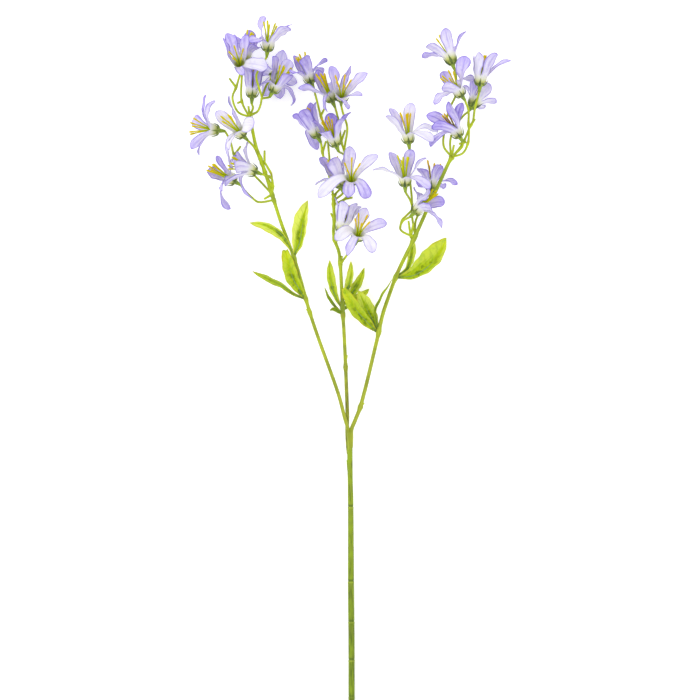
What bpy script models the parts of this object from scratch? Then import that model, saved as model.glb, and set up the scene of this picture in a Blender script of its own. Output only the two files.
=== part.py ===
# Tweedia spray: one cut stem, three leafy branches and twenty-eight open blooms, lying on a table.
# It lies along +Y, cut end first, and rests on that end and on petal tips to its left and right.

import math
import random

import bmesh
import bpy
from mathutils import Vector

# Places and sizes in the tables are in millimetres: across from the main stem, along it, above the table.
MM = 0.001

# Stems
STEM_SIDES = 8
STEM_CUT_END = (1.4, -6.0, 2.7)
STEM_TOP = (0.0, 269.6, 18.4)
STEM_RADIUS = 2.9
STEM_TOP_RADIUS = 2.6
STEM_RINGS_ALONG = (2.0, 41.0, 79.0, 118.0, 154.0, 194.0)
RING_HEIGHT = 0.35
RING_LENGTH = 1.6
KNUCKLE_RADIUS = 3.5
KNUCKLE_LENGTH = 9.0
BRANCH_SIDES = 6
BRANCH_RADIUS = 1.65
BRANCH_TOP_RADIUS = 1.45
SEAT_GAP = 0.3
FUSE_MERGE = 0.02
SHARP_EDGE_DEG = 40.0
NEARLY_ALONG_Z = 0.9

# Flower stalks, calyx and cut side shoots
STALK_SIDES = 4
STALK_RADIUS = 1.15
STALK_IN_SOCKET = 1.0
SHOOT_RADIUS = 1.3
SOCKET_LENGTH = 7.5
SOCKET_RADIUS = 2.4
SOCKET_FOOT_RADIUS = 1.5
SEPAL_WIDTH = 2.4
SEPAL_THICKNESS = 1.1
SEPAL_ROOT_HEIGHT = -2.4
SEPAL_BEND = (4.6, -0.6)
SEPAL_TIP = (7.6, 6.2)
SEPAL_ROOT_HALF_ANGLE = math.pi / 10
SEPAL_TURN = 0.25

# Corolla: a five-sided cup that opens into five petals, which leave it partly along its wall
PETALS = 5
PETAL_THICKNESS = 0.72
PETAL_WIDTH = 12.4
CUP_FLOOR_RADIUS = 2.9
CUP_FLOOR_HEIGHT = 1.05
CUP_RIM_RADIUS = 6.2
CUP_RIM_HEIGHT = 8.4
PETAL_ROWS = ((0.32, 0.76), (0.68, 1.0), (0.92, 0.62))
PETAL_DISH = 0.9
PETAL_SHAPE = (0.0, 28.0, 1.0)
PETAL_WALL_SHARE = 0.6
PETAL_PULL = 0.36
PETAL_TANGENT_STEP = 0.02
PETAL_UPRIGHT_LIMIT = 0.1

# Stamens: five filaments that rise from a small disc in the cup and lean out more above a bend
STAMEN_LENGTH = 28.0
STAMEN_SPREAD_DEG = 16.0
STAMEN_SPREAD_RANGE = (0.75, 1.25)
STAMEN_LENGTH_RANGE = (0.9, 1.04)
STAMEN_BEND_AT = 0.4
STAMEN_BEND_LEAN = 0.6
STAMEN_TIP_LEAN = 1.25
STAMEN_RADIUS = 0.58
STAMEN_TIP_RADIUS = 0.8
STAMEN_ROOM = 0.45
STAMEN_SWAY = 0.12
STAMEN_DISC_RADIUS = 1.8
STAMEN_DISC_TOP = 2.5
STAMEN_SEED = 7

# Leaves
LEAF_THICKNESS = 0.75
LEAF_FOOT_WIDTH = 2.0
LEAF_DISH = 0.9
LEAF_WAVE = 1.1
LEAF_ROLLED_BY = 0.33

COLORS = {
    "stem": (0.24, 0.35, 0.07, 1.0),
    "petal": (0.56, 0.52, 0.86, 1.0),
    "stamen": (0.76, 0.62, 0.04, 1.0),
}
ROUGHNESS = {"stem": 0.5, "petal": 0.8, "stamen": 0.55}


def bloom(base, facing, stalk, petals):
    """One flower: where its calyx ends, which way it faces, its stalk and where each petal ends."""
    return {"base": base, "facing": facing, "stalk": stalk, "petals": petals}


# Each petal is its tip as seen from the bloom's base, then where it has them its twist and curl in degrees
# and its width as a share of the usual one; PETAL_SHAPE holds what they are otherwise.
BLOOMS = {
    "left": [
        bloom((-82.5, 650, 48), (0.1, 0.95, 0.25),
              [(-99, 585, 42), (-92, 589, 44), (-88.3, 602, 48.5), (-91, 612, 55),
               (-93.5, 624, 57), (-88, 635, 54)],
              [(-7, 33, -14, 80, 28, 1.15), (-18, 7, 22, -25), (24, 20, 14, 0, 45, 1.15), (24, 26, -12),
               (4, 12, -30)]),
        bloom((-109.5, 634, 52), (-0.15, 0.45, 0.88),
              [(-100, 583, 42), (-112, 588, 51.5), (-117.4, 602, 52), (-113.6, 613, 49),
               (-111, 622, 46)],
              [(28, -2, 14, 0, 28, 1.35), (6, 31, 8), (-12, 33, -4, 30), (-17, 28, 16, 0, 28, 0.8),
               (4, -10, 33, 75, 28, 0.65)]),
        bloom((-98, 604, 34), (0.05, 0.97, 0.2),
              [(-100, 585, 41), (-97, 592, 37)],
              [(10, 30, 15, 0, 28, 0.85), (-7, 30, 16, 0, 28, 0.85), (-11, 33, 2, 0, 28, 0.8),
               (16, 32, 1, 0, 28, 0.85),
               (2, 34, -8, 0, 28, 0.85)]),
        bloom((-77, 609, 44), (0.45, 0.8, 0.3),
              [(-88.4, 601.2, 47.6), (-84.5, 602, 43.5)],
              [(17, 32, -18), (0, 34, 15), (18, 16, 20), (18, -15, -4, 0, 75), (-17, 1, 4, 0, 28, 0.8)]),
        bloom((-106, 640, 20), (0.2, 0.93, -0.2),
              [(-100, 582, 41.5), (-107, 595, 36), (-109, 604, 29), (-108.5, 622, 21)],
              [(-10, 26, -12), (4, 31, -14), (18, 24, -2), (15, 13, 18), (-16, 15, 16)]),
        bloom((-75, 625, 31.7), (0.05, -0.05, -1),
              [(-88.7, 600.6, 47.5), (-87, 606, 36), (-84, 614, 33), (-79, 621, 38)],
              [(8, 26, -25), (22, -7, -26), (-12, -20, -31), (5, -23, -27), (-20, 9, -27)]),
        bloom((-132.4, 569.8, 36), (-0.97, 0.12, 0.2),
              [(-79, 507, 36), (-94, 523, 23), (-109, 536, 17), (-116, 545, 22), (-119.5, 558, 31)],
              [(-12, 35.5, 12, 65, 28, 0.6), (-3, 30.5, -14, 60, 28, 0.7), (-24, 14, -20),
               (-26, -19.5, 12, 70, 28, 0.75), (-19, -24.5, -12)]),
        bloom((-107, 564.5, 50), (-0.6, 0.62, 0.5),
              [(-90.5, 541, 40), (-96, 553, 43)],
              [(-27, 24, 6), (-14, 39, -18, -60, 28, 0.6), (11, 9, 23, 0, 28, 1.4),
               (-14, -15, 24), (-10, -34, 4, 70, 28, 0.7)]),
        bloom((-95, 528.3, 47), (-0.86, 0.34, 0.35),
              [(-77, 513, 38), (-78, 521, 41), (-82, 524, 43)],
              [(-6.5, 30, -13, 30, 28, 0.9), (-20, 17, -21), (-20, 3, 26), (-30, -14.5, 6),
               (-3, -27.5, -12, 0, 28, 0.8)]),
        bloom((-116, 519, 32), (-0.75, 0.45, 0.35),
              [(-76.3, 500, 35), (-91.4, 498, 33), (-98.6, 503, 31), (-106, 510.5, 30)],
              [(-27, 9, 4), (-17, 26, -14, 70, 28, 0.45), (2, 26, 14, 0, 28, 0.7), (-4, -28, -8, 30),
               (-12, -10, 27)]),
    ],
    "middle": [
        bloom((-39, 618, 40), (-0.35, 0.9, 0.15),
              [(-17, 505, 33), (-20, 535, 33), (-21.4, 550, 34), (-23, 565, 32), (-29.4, 585, 29),
               (-33.5, 601, 32)],
              [(-18, 8, 30), (-16, 27, -6), (16, 21, -10), (-7, 25, 24), (12, 10, -28)]),
        bloom((-18, 599.5, 45), (-0.4, 0.9, 0.2),
              [(-5.5, 548, 32), (-9, 560, 33), (-10.5, 574, 35), (-13, 586, 40)],
              [(-13, 31, -2), (3, 31, -6), (-34, 12, 6, 70, 28, 0.65), (-5, -12, 22, 50, 70, 0.8),
               (2, 20, -29)]),
        bloom((-8.5, 600, 52), (0.05, 0.68, 0.72),
              [(-15.8, 505, 33.2), (-6, 516, 30), (-1, 530, 30), (-5.5, 548, 32), (-2.7, 572, 40),
               (-7, 587, 44.5)],
              [(-9, 34, -2, -40), (10, 34, 2, 70, 28, 0.7), (26, 27, 8), (21, 4, 22), (7, -10, 29)]),
        bloom((-32.5, 564, 34), (-0.45, 0.88, 0.1),
              [(-17, 505, 33), (-22, 528, 31), (-27, 545, 32)],
              [(-25, 21, 4, 30), (-16, 26, 18), (-9, 33, -14), (0, -13, -26, 0, 28, 0.8), (-2, 34, 8)]),
        bloom((-14, 555, 52), (-0.35, 0.9, 0.3),
              [(-4.8, 545, 31.7), (-8.5, 547, 41)],
              [(-23.5, 24, 6), (-3, 32, -8), (15, 33, -4, 0, 28, 0.6), (8, 27, 14), (-14, 12, 28)]),
        bloom((1, 517, 44), (0.05, 0.62, 0.78),
              [(-16.4, 495, 33), (-10, 498.5, 31), (-4, 502, 30), (-1.5, 507, 32)],
              [(-1, 37, 4), (27, 28, 6, 0, 28, 0.85), (16, -16, 14, 0, 60), (-3, -15, 26), (-33, -15, 12)]),
        bloom((-9, 514, 40), (-0.3, 0.9, 0.25),
              [(-16.2, 500, 33.2), (-11.5, 503, 35)],
              [(-21, 29, -3), (-10, 27, 22, 0, 28, 1.15), (4, 33, 2), (-26, 1, 7),
               (-1, 14, -29, 0, 28, 0.85)]),
        bloom((7, 461, 46), (0.2, 0.72, 0.66),
              [(-9, 437, 29), (-3, 445, 32), (3, 453, 36)],
              [(30, 16, 4), (16, -14, 18), (10, 31, 4), (-22, -1, 24), (-10, -17, 21, 50, 28, 0.8)]),
        bloom((-9, 468, 42), (0.2, 0.95, 0.0),
              [(-15, 459, 30)],
              [(3, 31, 14, 0, 28, 0.9), (16, 29, 8, 0, 28, 0.85), (20, 26, -9), (3, 25, -25),
               (-6, 35, -1, 0, 28, 0.9)]),
    ],
    "right": [
        bloom((102, 637, 46), (-0.3, 0.85, -0.35),
              [(102, 543, 40), (94, 553, 39), (94, 566, 34), (99, 590, 30), (106, 606, 32),
               (106, 624, 39)],
              [(-7, 35, 2), (14, 32, -8, 0, 28, 0.7), (-26, 17, 5), (-30, 6, -14, 30, 28, 1.15),
               (2, 17, -28)]),
        bloom((111, 605, 52), (-0.5, 0.7, 0.45),
              [(102, 543, 40), (113, 547, 41), (118, 557, 42), (119, 568, 41), (118.5, 577, 40),
               (118.5, 589, 42)],
              [(5, 39, -2, 100, 20, 1.35), (-20, 6, 20), (-27, -10, 12), (-18, 24, -6), (12, 14, -24)]),
        bloom((130, 615.5, 44), (0.1, 0.98, 0.1),
              [(104, 545, 41), (113, 557, 41), (119, 571, 40), (123, 579, 38), (124.8, 591, 38)],
              [(1, 31, 16, 0, 28, 0.9), (17, 31, 12, 0, 28, 0.9), (31, 24, 0), (10, 27, -19),
               (-5, 28, -8)]),
        bloom((122, 594, 29), (0.45, 0.7, -0.5),
              [(101, 544, 40), (100.4, 560, 36), (106, 575, 28), (114, 585, 28)],
              [(19, 22, -6), (25, 4, -10), (0, 27, -10), (-8, 20, -22), (8, -2, -29)]),
        bloom((109, 564, 48), (-0.5, 0.8, 0.35),
              [(104, 545, 41), (112, 553, 43)],
              [(-11, 34, 12, 0, 20, 1.2), (4, 33, 0, 55, 28, 0.7), (-33, 21, -6), (-29, -11, 10),
               (-28, 8, 20)]),
        bloom((58.6, 558, 44), (-0.12, 0.97, 0.2),
              [(65.4, 464, 31.4), (62, 485, 30), (62, 500, 29), (60, 520, 31), (58.5, 540, 38)],
              [(4, 39, -4), (-19, 34, -6), (-23, 26, 10), (30, 11, -12, 60), (25, 0, 20, 60)]),
        bloom((55, 515, 50), (-0.05, 0.95, 0.3),
              [(50.2, 472.2, 37), (52, 480, 36), (57, 485, 37), (62, 491, 40), (60, 500, 45)],
              [(-15.5, 33, -4, 0, 28, 1.1), (8, 35, 0), (-32, 15, 6), (21, 27, 3, -20, 28, 0.85),
               (25, -4, 22, 50)]),
        bloom((81, 510, 29), (0.1, 0.9, -0.35),
              [(65.4, 464, 31.4), (66, 480, 26), (76, 497, 27)],
              [(12, 24, 0), (27, 6, -6, 70), (13, 2, -26), (-12, 4, -26), (-12, 22, 8)]),
        bloom((65, 488, 46), (0.65, 0.65, 0.35),
              [(65, 463, 31.3), (53, 468, 35), (50, 472, 37), (53, 479, 39)],
              [(30, 10, -2), (27, -16, 6), (15, 23, 14), (0, 22, -18), (18, 0, 30)]),
    ],
}

BRANCHES = {
    "left": [(-2, 270.4, 20.2), (-5, 281, 21), (-12, 307, 22), (-31, 360, 24.5), (-41, 390, 26),
             (-50.3, 423.5, 28), (-56.4, 443.4, 29.5), (-64, 464, 31), (-70.2, 481, 33), (-79, 509, 36),
             (-84.3, 525.4, 38), (-89.6, 541.4, 40), (-94.1, 554, 41), (-98.6, 575.4, 42), (-100, 583, 42)],
    "middle": [(-1.1, 270.4, 16.2), (-2.6, 284, 16.6), (-4, 323, 19), (-5.6, 360, 21), (-7, 384, 22.5),
               (-8, 403, 24), (-9.4, 431, 26.5), (-11.1, 448, 28.5), (-15.4, 460, 30), (-16.6, 469, 31),
               (-15.7, 481, 32), (-16.4, 496, 33), (-16, 506, 33.5)],
    "right": [(1.5, 270.4, 20), (4.5, 278, 20.4), (11, 295, 21.4), (27, 360, 24.5), (32.7, 385.4, 26),
              (39.4, 405.5, 27), (46, 423.6, 28.3), (52, 437, 29), (63.4, 460, 31), (74.7, 485, 33.5),
              (87.4, 512.5, 36.5), (94.4, 528, 38.5), (99.3, 538.4, 39.8), (102, 543, 40.3)],
}

# Cut side shoots and buds: where each starts and ends
SHOOTS = {
    "left": [((-100, 582, 42), (-101.6, 594, 43)), ((-113.6, 612, 49), (-120.7, 621.6, 50)),
             ((-108, 599, 32.5), (-112.5, 597, 36)), ((-116, 545, 22), (-109.5, 554, 26)),
             ((-85, 527, 38), (-77, 512, 38)), ((-85.5, 537, 41), (-85.4, 549.5, 43)),
             ((-77, 512, 38), (-79, 504, 35.5)), ((-77, 512, 38), (-78.5, 526, 40.5)),
             ((-78.5, 526, 40.5), (-86, 539, 41)), ((-79, 505, 36), (-86, 501, 37)),
             ((-40, 387, 26), (-43.5, 391, 27))],
    "middle": [((-15.7, 480, 32), (-19.3, 487, 33)), ((-5.6, 333, 19.5), (-3, 345, 20.5)),
               ((-29.4, 584, 29), (-25.4, 592, 30)), ((-27.5, 548, 32.5), (-24, 559, 33)),
               ((-8.7, 559, 33), (-4.8, 570, 36)), ((-4, 501.5, 30), (2.5, 502.5, 32)),
               ((-9.5, 436, 27), (-8, 444, 30))],
    "right": [((101.5, 542, 40), (103.9, 555, 42)), ((121, 575, 39), (125, 581, 38.5)),
              ((61, 462, 31), (58.5, 479, 36)), ((61, 464, 31), (63.5, 477, 37)),
              ((10, 293, 21.3), (14, 297, 22)), ((116, 558, 42), (109, 556, 44))],
}


def leaf(path, widths, roll=0.0, wave=0.0):
    """One leaf: its midrib from the stem to its tip, its widths between the two, its roll and edge wave."""
    return {"path": path, "widths": widths, "roll": roll, "wave": wave}


LEAVES = {
    "left": [
        leaf([(-56.4, 443.4, 29.5), (-61, 454, 33), (-70, 465, 35), (-84, 473.5, 33), (-101, 477.5, 27)],
             (5, 9, 8), 15),
        leaf([(-56.4, 442, 29.5), (-53, 455, 35), (-51, 470, 38), (-48, 486, 37), (-42, 500, 32)],
             (10, 14.5, 11.5), -10, 1),
        leaf([(-45, 401, 26.5), (-56, 406, 29), (-68, 414.5, 30), (-80, 420.5, 27), (-98, 429, 21)],
             (4, 6.5, 6.5), 35),
        leaf([(-44.5, 400, 26.5), (-52, 412, 31), (-58, 422, 34), (-62, 436, 33), (-65.5, 450, 30)],
             (8.5, 13.5, 12), -10, 1),
    ],
    "middle": [
        leaf([(-7.5, 391, 23.3), (-13, 401, 27), (-17.5, 415, 30), (-19.5, 428, 30), (-20.4, 440.4, 27)],
             (4.5, 8, 7.5), 10),
        leaf([(-7, 384, 22.5), (-12, 391, 22), (-18.5, 399, 21), (-22, 405, 19), (-25.6, 413, 16)],
             (2.5, 4, 3), 40),
        leaf([(-7.8, 397, 23.7), (-4.5, 407, 27.5), (-1.5, 417, 31), (0.5, 428, 33), (1, 439.4, 33)],
             (4, 7, 6), 0),
        leaf([(-7.5, 393, 23.3), (-1.5, 402, 20), (5, 412, 18), (10.5, 422, 18), (14.5, 432.7, 20)],
             (5, 8.6, 7), 0),
        leaf([(-7.7, 390, 23.2), (1, 396, 16), (8, 402, 14.5), (14, 406.5, 15), (19.5, 411.5, 17)],
             (5, 9, 7), 0),
        leaf([(-7.1, 385.5, 22.6), (-11, 388.5, 25), (-14, 390.5, 26.5), (-17, 391, 27),
              (-20.5, 389.5, 26)],
             (3, 4.5, 3.5), 10),
    ],
    "right": [
        leaf([(28, 367, 24.9), (18, 377, 30), (7, 389, 35), (-1, 402, 37), (-6.5, 412, 36)],
             (9, 12.5, 12), 20),
        leaf([(28, 366, 24.9), (23, 379, 25), (17, 391, 27), (12, 402, 28), (8, 410, 27)],
             (10, 15, 13), -5, 1),
        leaf([(28, 369, 24.9), (26, 389, 31), (32, 403.5, 35), (38, 413, 36.5), (42, 421, 37)],
             (4, 6, 4), 65),
        leaf([(45.5, 422, 28.2), (60, 425.5, 33), (72.5, 434, 36), (84.5, 446.5, 36), (96.5, 462.5, 32)],
             (11, 18.5, 18), 5, 1),
        leaf([(46.5, 424, 28.3), (57, 431, 24.5), (61, 441, 22), (62.5, 452, 21), (62, 464, 21)],
             (4, 7, 7.5), 10),
    ],
}


def clear_scene():
    for item in list(bpy.data.objects):
        bpy.data.objects.remove(item, do_unlink=True)


def make_material(kind):
    material = bpy.data.materials.new(kind)
    material.use_nodes = True
    shader = material.node_tree.nodes["Principled BSDF"]
    shader.inputs["Base Color"].default_value = COLORS[kind]
    shader.inputs["Roughness"].default_value = ROUGHNESS[kind]
    shader.inputs["Metallic"].default_value = 0.0
    return material


def make_object(name, bm, material=None):
    mesh = bpy.data.meshes.new(name)
    bm.to_mesh(mesh)
    bm.free()
    item = bpy.data.objects.new(name, mesh)
    bpy.context.scene.collection.objects.link(item)
    if material:
        mesh.materials.append(material)
    return item


def upright(direction):
    """A unit vector square to a direction, leaning toward +Z where it can."""
    up = Vector((0, 0, 1))
    if abs(direction.z) > NEARLY_ALONG_Z:
        up = Vector((0, 1, 0))
    return (up - direction * up.dot(direction)).normalized()


def tube(name, points, radii, sides):
    """A closed tube of flat sides through the points, with flat ends."""
    points = [Vector(point) * MM for point in points]
    bm = bmesh.new()
    rings = []
    last = len(points) - 1
    side_up = None
    for index, (point, radius) in enumerate(zip(points, radii)):
        ahead = (points[min(index + 1, last)] - point).normalized() if index < last else Vector()
        behind = (point - points[max(index - 1, 0)]).normalized() if index else Vector()
        along = (ahead + behind).normalized()
        side_up = upright(along) if side_up is None else (side_up - along * side_up.dot(along)).normalized()
        across = along.cross(side_up)
        turns = [math.tau * (k + 0.5) / sides for k in range(sides)]
        ring = [point + (side_up * math.cos(t) + across * math.sin(t)) * radius * MM for t in turns]
        rings.append([bm.verts.new(place) for place in ring])
    for low, high in zip(rings, rings[1:]):
        for k in range(sides):
            j = (k + 1) % sides
            bm.faces.new((low[k], low[j], high[j], high[k]))
    bm.faces.new(rings[0])
    bm.faces.new(rings[-1])
    bmesh.ops.recalc_face_normals(bm, faces=bm.faces)
    return make_object(name, bm)


def fuse(name, pieces, material):
    """One solid made of overlapping pieces."""
    body, others = pieces[0], pieces[1:]
    group = bpy.data.collections.new(name + "_pieces")
    for piece in others:
        group.objects.link(piece)
    union = body.modifiers.new("union", "BOOLEAN")
    union.operation = "UNION"
    union.operand_type = "COLLECTION"
    union.collection = group
    graph = bpy.context.evaluated_depsgraph_get()
    bm = bmesh.new()
    bm.from_object(body, graph)
    bmesh.ops.triangulate(bm, faces=bm.faces, ngon_method="BEAUTY")
    bmesh.ops.dissolve_degenerate(bm, edges=bm.edges, dist=FUSE_MERGE * MM)
    for piece in pieces:
        bpy.data.objects.remove(piece, do_unlink=True)
    bpy.data.collections.remove(group)
    return make_object(name, bm, material)


def facing_turn(direction):
    """The rotation that takes a bloom's own +Z to the way it faces."""
    return Vector(direction).to_track_quat("Z", "Y")


def bezier(start, start_pull, end_pull, end, share):
    rest = 1.0 - share
    return (start * rest ** 3 + start_pull * 3 * rest ** 2 * share
            + end_pull * 3 * rest * share ** 2 + end * share ** 3)


def petal_angles(tips):
    """Five even angles round the cup, turned to suit the tips, each with its own tip."""
    ordered = sorted(tips, key=lambda tip: math.atan2(tip[0].y, tip[0].x))
    step = math.tau / PETALS
    offsets = [math.atan2(tip[0].y, tip[0].x) - step * k for k, tip in enumerate(ordered)]
    start = sum(offsets) / PETALS
    return [(start + step * k, tip) for k, tip in enumerate(ordered)]


def petal_line(angle, tip, curl):
    """The petal's midline above the cup, as a function of the share of its length, in bloom space."""
    out = Vector((math.cos(angle), math.sin(angle), 0))
    start = out * CUP_RIM_RADIUS + Vector((0, 0, CUP_RIM_HEIGHT))
    span = tip - start
    chord = span.normalized()
    wall = (out * (CUP_RIM_RADIUS - CUP_FLOOR_RADIUS) + Vector((0, 0, CUP_RIM_HEIGHT))).normalized()
    leave = (wall * PETAL_WALL_SHARE + chord * (1 - PETAL_WALL_SHARE)).normalized()
    down = chord * chord.z - Vector((0, 0, 1))
    down = down.normalized() if down.length > PETAL_UPRIGHT_LIMIT else out
    arrive = (chord * math.cos(curl) + down * math.sin(curl)).normalized()
    pull = span.length * PETAL_PULL
    return lambda share: bezier(start, start + leave * pull, tip - arrive * pull, tip, share)


def cup_point(bm, angle, radius, height):
    return bm.verts.new(Vector((math.cos(angle) * radius, math.sin(angle) * radius, height)) * MM)


def corolla_sheet(flower):
    """The inner face of the cup and its petals, in bloom space."""
    turn = facing_turn(flower["facing"]).inverted()
    tips = []
    for row in flower["petals"]:
        twist, curl, width = (row[3:] + PETAL_SHAPE[len(row) - 3:])
        tips.append((turn @ Vector(row[:3]), math.radians(twist), math.radians(curl), width))
    petals = petal_angles(tips)
    bm = bmesh.new()
    floor = [cup_point(bm, angle, CUP_FLOOR_RADIUS, CUP_FLOOR_HEIGHT) for angle, _ in petals]
    rim = []
    for angle, _ in petals:
        rim.append(cup_point(bm, angle, CUP_RIM_RADIUS, CUP_RIM_HEIGHT))
        rim.append(cup_point(bm, angle + math.pi / PETALS, CUP_RIM_RADIUS, CUP_RIM_HEIGHT))
    bm.faces.new(floor)
    for k in range(PETALS):
        after = (k + 1) % PETALS
        bm.faces.new((floor[k], rim[2 * k], rim[2 * k + 1]))
        bm.faces.new((floor[k], rim[2 * k + 1], floor[after]))
        bm.faces.new((floor[after], rim[2 * k + 1], rim[2 * after]))
    for index, (angle, (tip, twist, curl, width)) in enumerate(petals):
        line = petal_line(angle, tip, curl)
        side = Vector((-math.sin(angle), math.cos(angle), 0))
        rows = [(rim[2 * index - 1], rim[2 * index], rim[2 * index + 1])]
        for share, fullness in PETAL_ROWS:
            along = (line(share + PETAL_TANGENT_STEP) - line(share - PETAL_TANGENT_STEP)).normalized()
            side = (side - along * side.dot(along)).normalized()
            inward = along.cross(side)
            bend = twist * share
            edge = side * math.cos(bend) + inward * math.sin(bend)
            lift = along.cross(edge) * PETAL_DISH * fullness
            reach = edge * PETAL_WIDTH * width * 0.5 * fullness
            middle = line(share)
            places = (middle - reach + lift, middle, middle + reach + lift)
            rows.append(tuple(bm.verts.new(place * MM) for place in places))
        for low, high in zip(rows, rows[1:]):
            bm.faces.new((low[0], high[0], high[1]))
            bm.faces.new((low[0], high[1], low[1]))
            bm.faces.new((low[1], high[1], low[2]))
            bm.faces.new((high[1], high[2], low[2]))
        end = bm.verts.new(line(1.0) * MM)
        bm.faces.new((rows[-1][0], end, rows[-1][1]))
        bm.faces.new((rows[-1][1], end, rows[-1][2]))
    return bm


def make_petals(name, flower, material):
    bm = corolla_sheet(flower)
    bmesh.ops.triangulate(bm, faces=bm.faces)
    petals = make_object(name, bm, material)
    thicken = petals.modifiers.new("thickness", "SOLIDIFY")
    thicken.thickness = PETAL_THICKNESS * MM
    thicken.offset = -1.0
    return petals


def make_stamens(name, flower, material, chance):
    """A small disc and the five filaments that rise from it, thicker at their tips."""
    turn = facing_turn(flower["facing"]).inverted()
    axis = Vector((0, 0, 1))
    room = min(axis.angle(turn @ Vector(row[:3])) for row in flower["petals"])
    start = chance.uniform(0, math.tau)
    bm = bmesh.new()
    angles = [start + math.tau * k / PETALS for k in range(PETALS)]
    foot = [cup_point(bm, angle, STAMEN_DISC_RADIUS, CUP_FLOOR_HEIGHT + SEAT_GAP) for angle in angles]
    top = [cup_point(bm, angle, STAMEN_DISC_RADIUS, STAMEN_DISC_TOP) for angle in angles]
    middle = cup_point(bm, 0.0, 0.0, STAMEN_DISC_TOP)
    bm.faces.new(foot)
    for k, angle in enumerate(angles):
        after = (k + 1) % PETALS
        bm.faces.new((foot[k], foot[after], top[after], top[k]))
        corners = (middle, top[k], top[after])
        centre = sum((corner.co for corner in corners), Vector()) / 3
        aim = angle + math.pi / PETALS + chance.uniform(-STAMEN_SWAY, STAMEN_SWAY)
        spread = math.radians(STAMEN_SPREAD_DEG) * chance.uniform(*STAMEN_SPREAD_RANGE)
        spread = min(spread, room * STAMEN_ROOM)
        length = STAMEN_LENGTH * chance.uniform(*STAMEN_LENGTH_RANGE) * MM
        out = Vector((math.cos(aim), math.sin(aim), 0))
        low_lean, high_lean = spread * STAMEN_BEND_LEAN, spread * STAMEN_TIP_LEAN
        bend = centre + (out * math.sin(low_lean) + axis * math.cos(low_lean)) * length * STAMEN_BEND_AT
        tip = bend + (out * math.sin(high_lean) + axis * math.cos(high_lean)) * length * (1 - STAMEN_BEND_AT)
        rings = [corners]
        for place, radius in ((centre, STAMEN_RADIUS), (bend, STAMEN_RADIUS), (tip, STAMEN_TIP_RADIUS)):
            spokes = [(corner.co - centre).normalized() for corner in corners]
            rings.append([bm.verts.new(place + spoke * radius * MM) for spoke in spokes])
        for low, high in zip(rings, rings[1:]):
            for i in range(3):
                j = (i + 1) % 3
                bm.faces.new((low[i], low[j], high[j], high[i]))
        bm.faces.new(rings[-1])
    bmesh.ops.triangulate(bm, faces=bm.faces)
    bmesh.ops.recalc_face_normals(bm, faces=bm.faces)
    return make_object(name, bm, material)


def make_calyx(name, flower):
    """The green socket under a bloom and its five narrow sepals, which stand off the outside of the cup."""
    turn = facing_turn(flower["facing"])
    base = Vector(flower["base"])
    bm = bmesh.new()

    def corner(angle, radius, height, aside=0.0):
        out = Vector((math.cos(angle), math.sin(angle), 0))
        side = Vector((-math.sin(angle), math.cos(angle), 0))
        return bm.verts.new((base + turn @ (out * radius + side * aside + Vector((0, 0, height)))) * MM)

    angles = [math.tau * (k + SEPAL_TURN) / PETALS for k in range(PETALS)]
    foot = [corner(angle, SOCKET_FOOT_RADIUS, -SOCKET_LENGTH) for angle in angles]
    waist = [corner(angle, SOCKET_RADIUS, SEPAL_ROOT_HEIGHT) for angle in angles]
    rim = []
    for angle in angles:
        sides = (-SEPAL_ROOT_HALF_ANGLE, SEPAL_ROOT_HALF_ANGLE)
        rim += [corner(angle + turned, SOCKET_RADIUS, 0.0) for turned in sides]
    bm.faces.new(foot)
    bm.faces.new(rim)
    for k, angle in enumerate(angles):
        after = (k + 1) % PETALS
        bm.faces.new((foot[k], foot[after], waist[after]))
        bm.faces.new((foot[k], waist[after], waist[k]))
        bm.faces.new((waist[k], waist[after], rim[2 * after]))
        bm.faces.new((waist[k], rim[2 * after], rim[2 * k + 1]))
        root = (rim[2 * k], rim[2 * k + 1], waist[k])
        radius, height = SEPAL_BEND
        bend = (corner(angle, radius, height, -SEPAL_WIDTH / 2),
                corner(angle, radius, height, SEPAL_WIDTH / 2),
                corner(angle, radius + SEPAL_THICKNESS / 2, height - SEPAL_THICKNESS))
        tip = corner(angle, *SEPAL_TIP)
        for i in range(3):
            j = (i + 1) % 3
            bm.faces.new((root[i], root[j], bend[j], bend[i]))
            bm.faces.new((bend[i], bend[j], tip))
    bmesh.ops.triangulate(bm, faces=bm.faces)
    bmesh.ops.recalc_face_normals(bm, faces=bm.faces)
    return make_object(name, bm)


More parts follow.
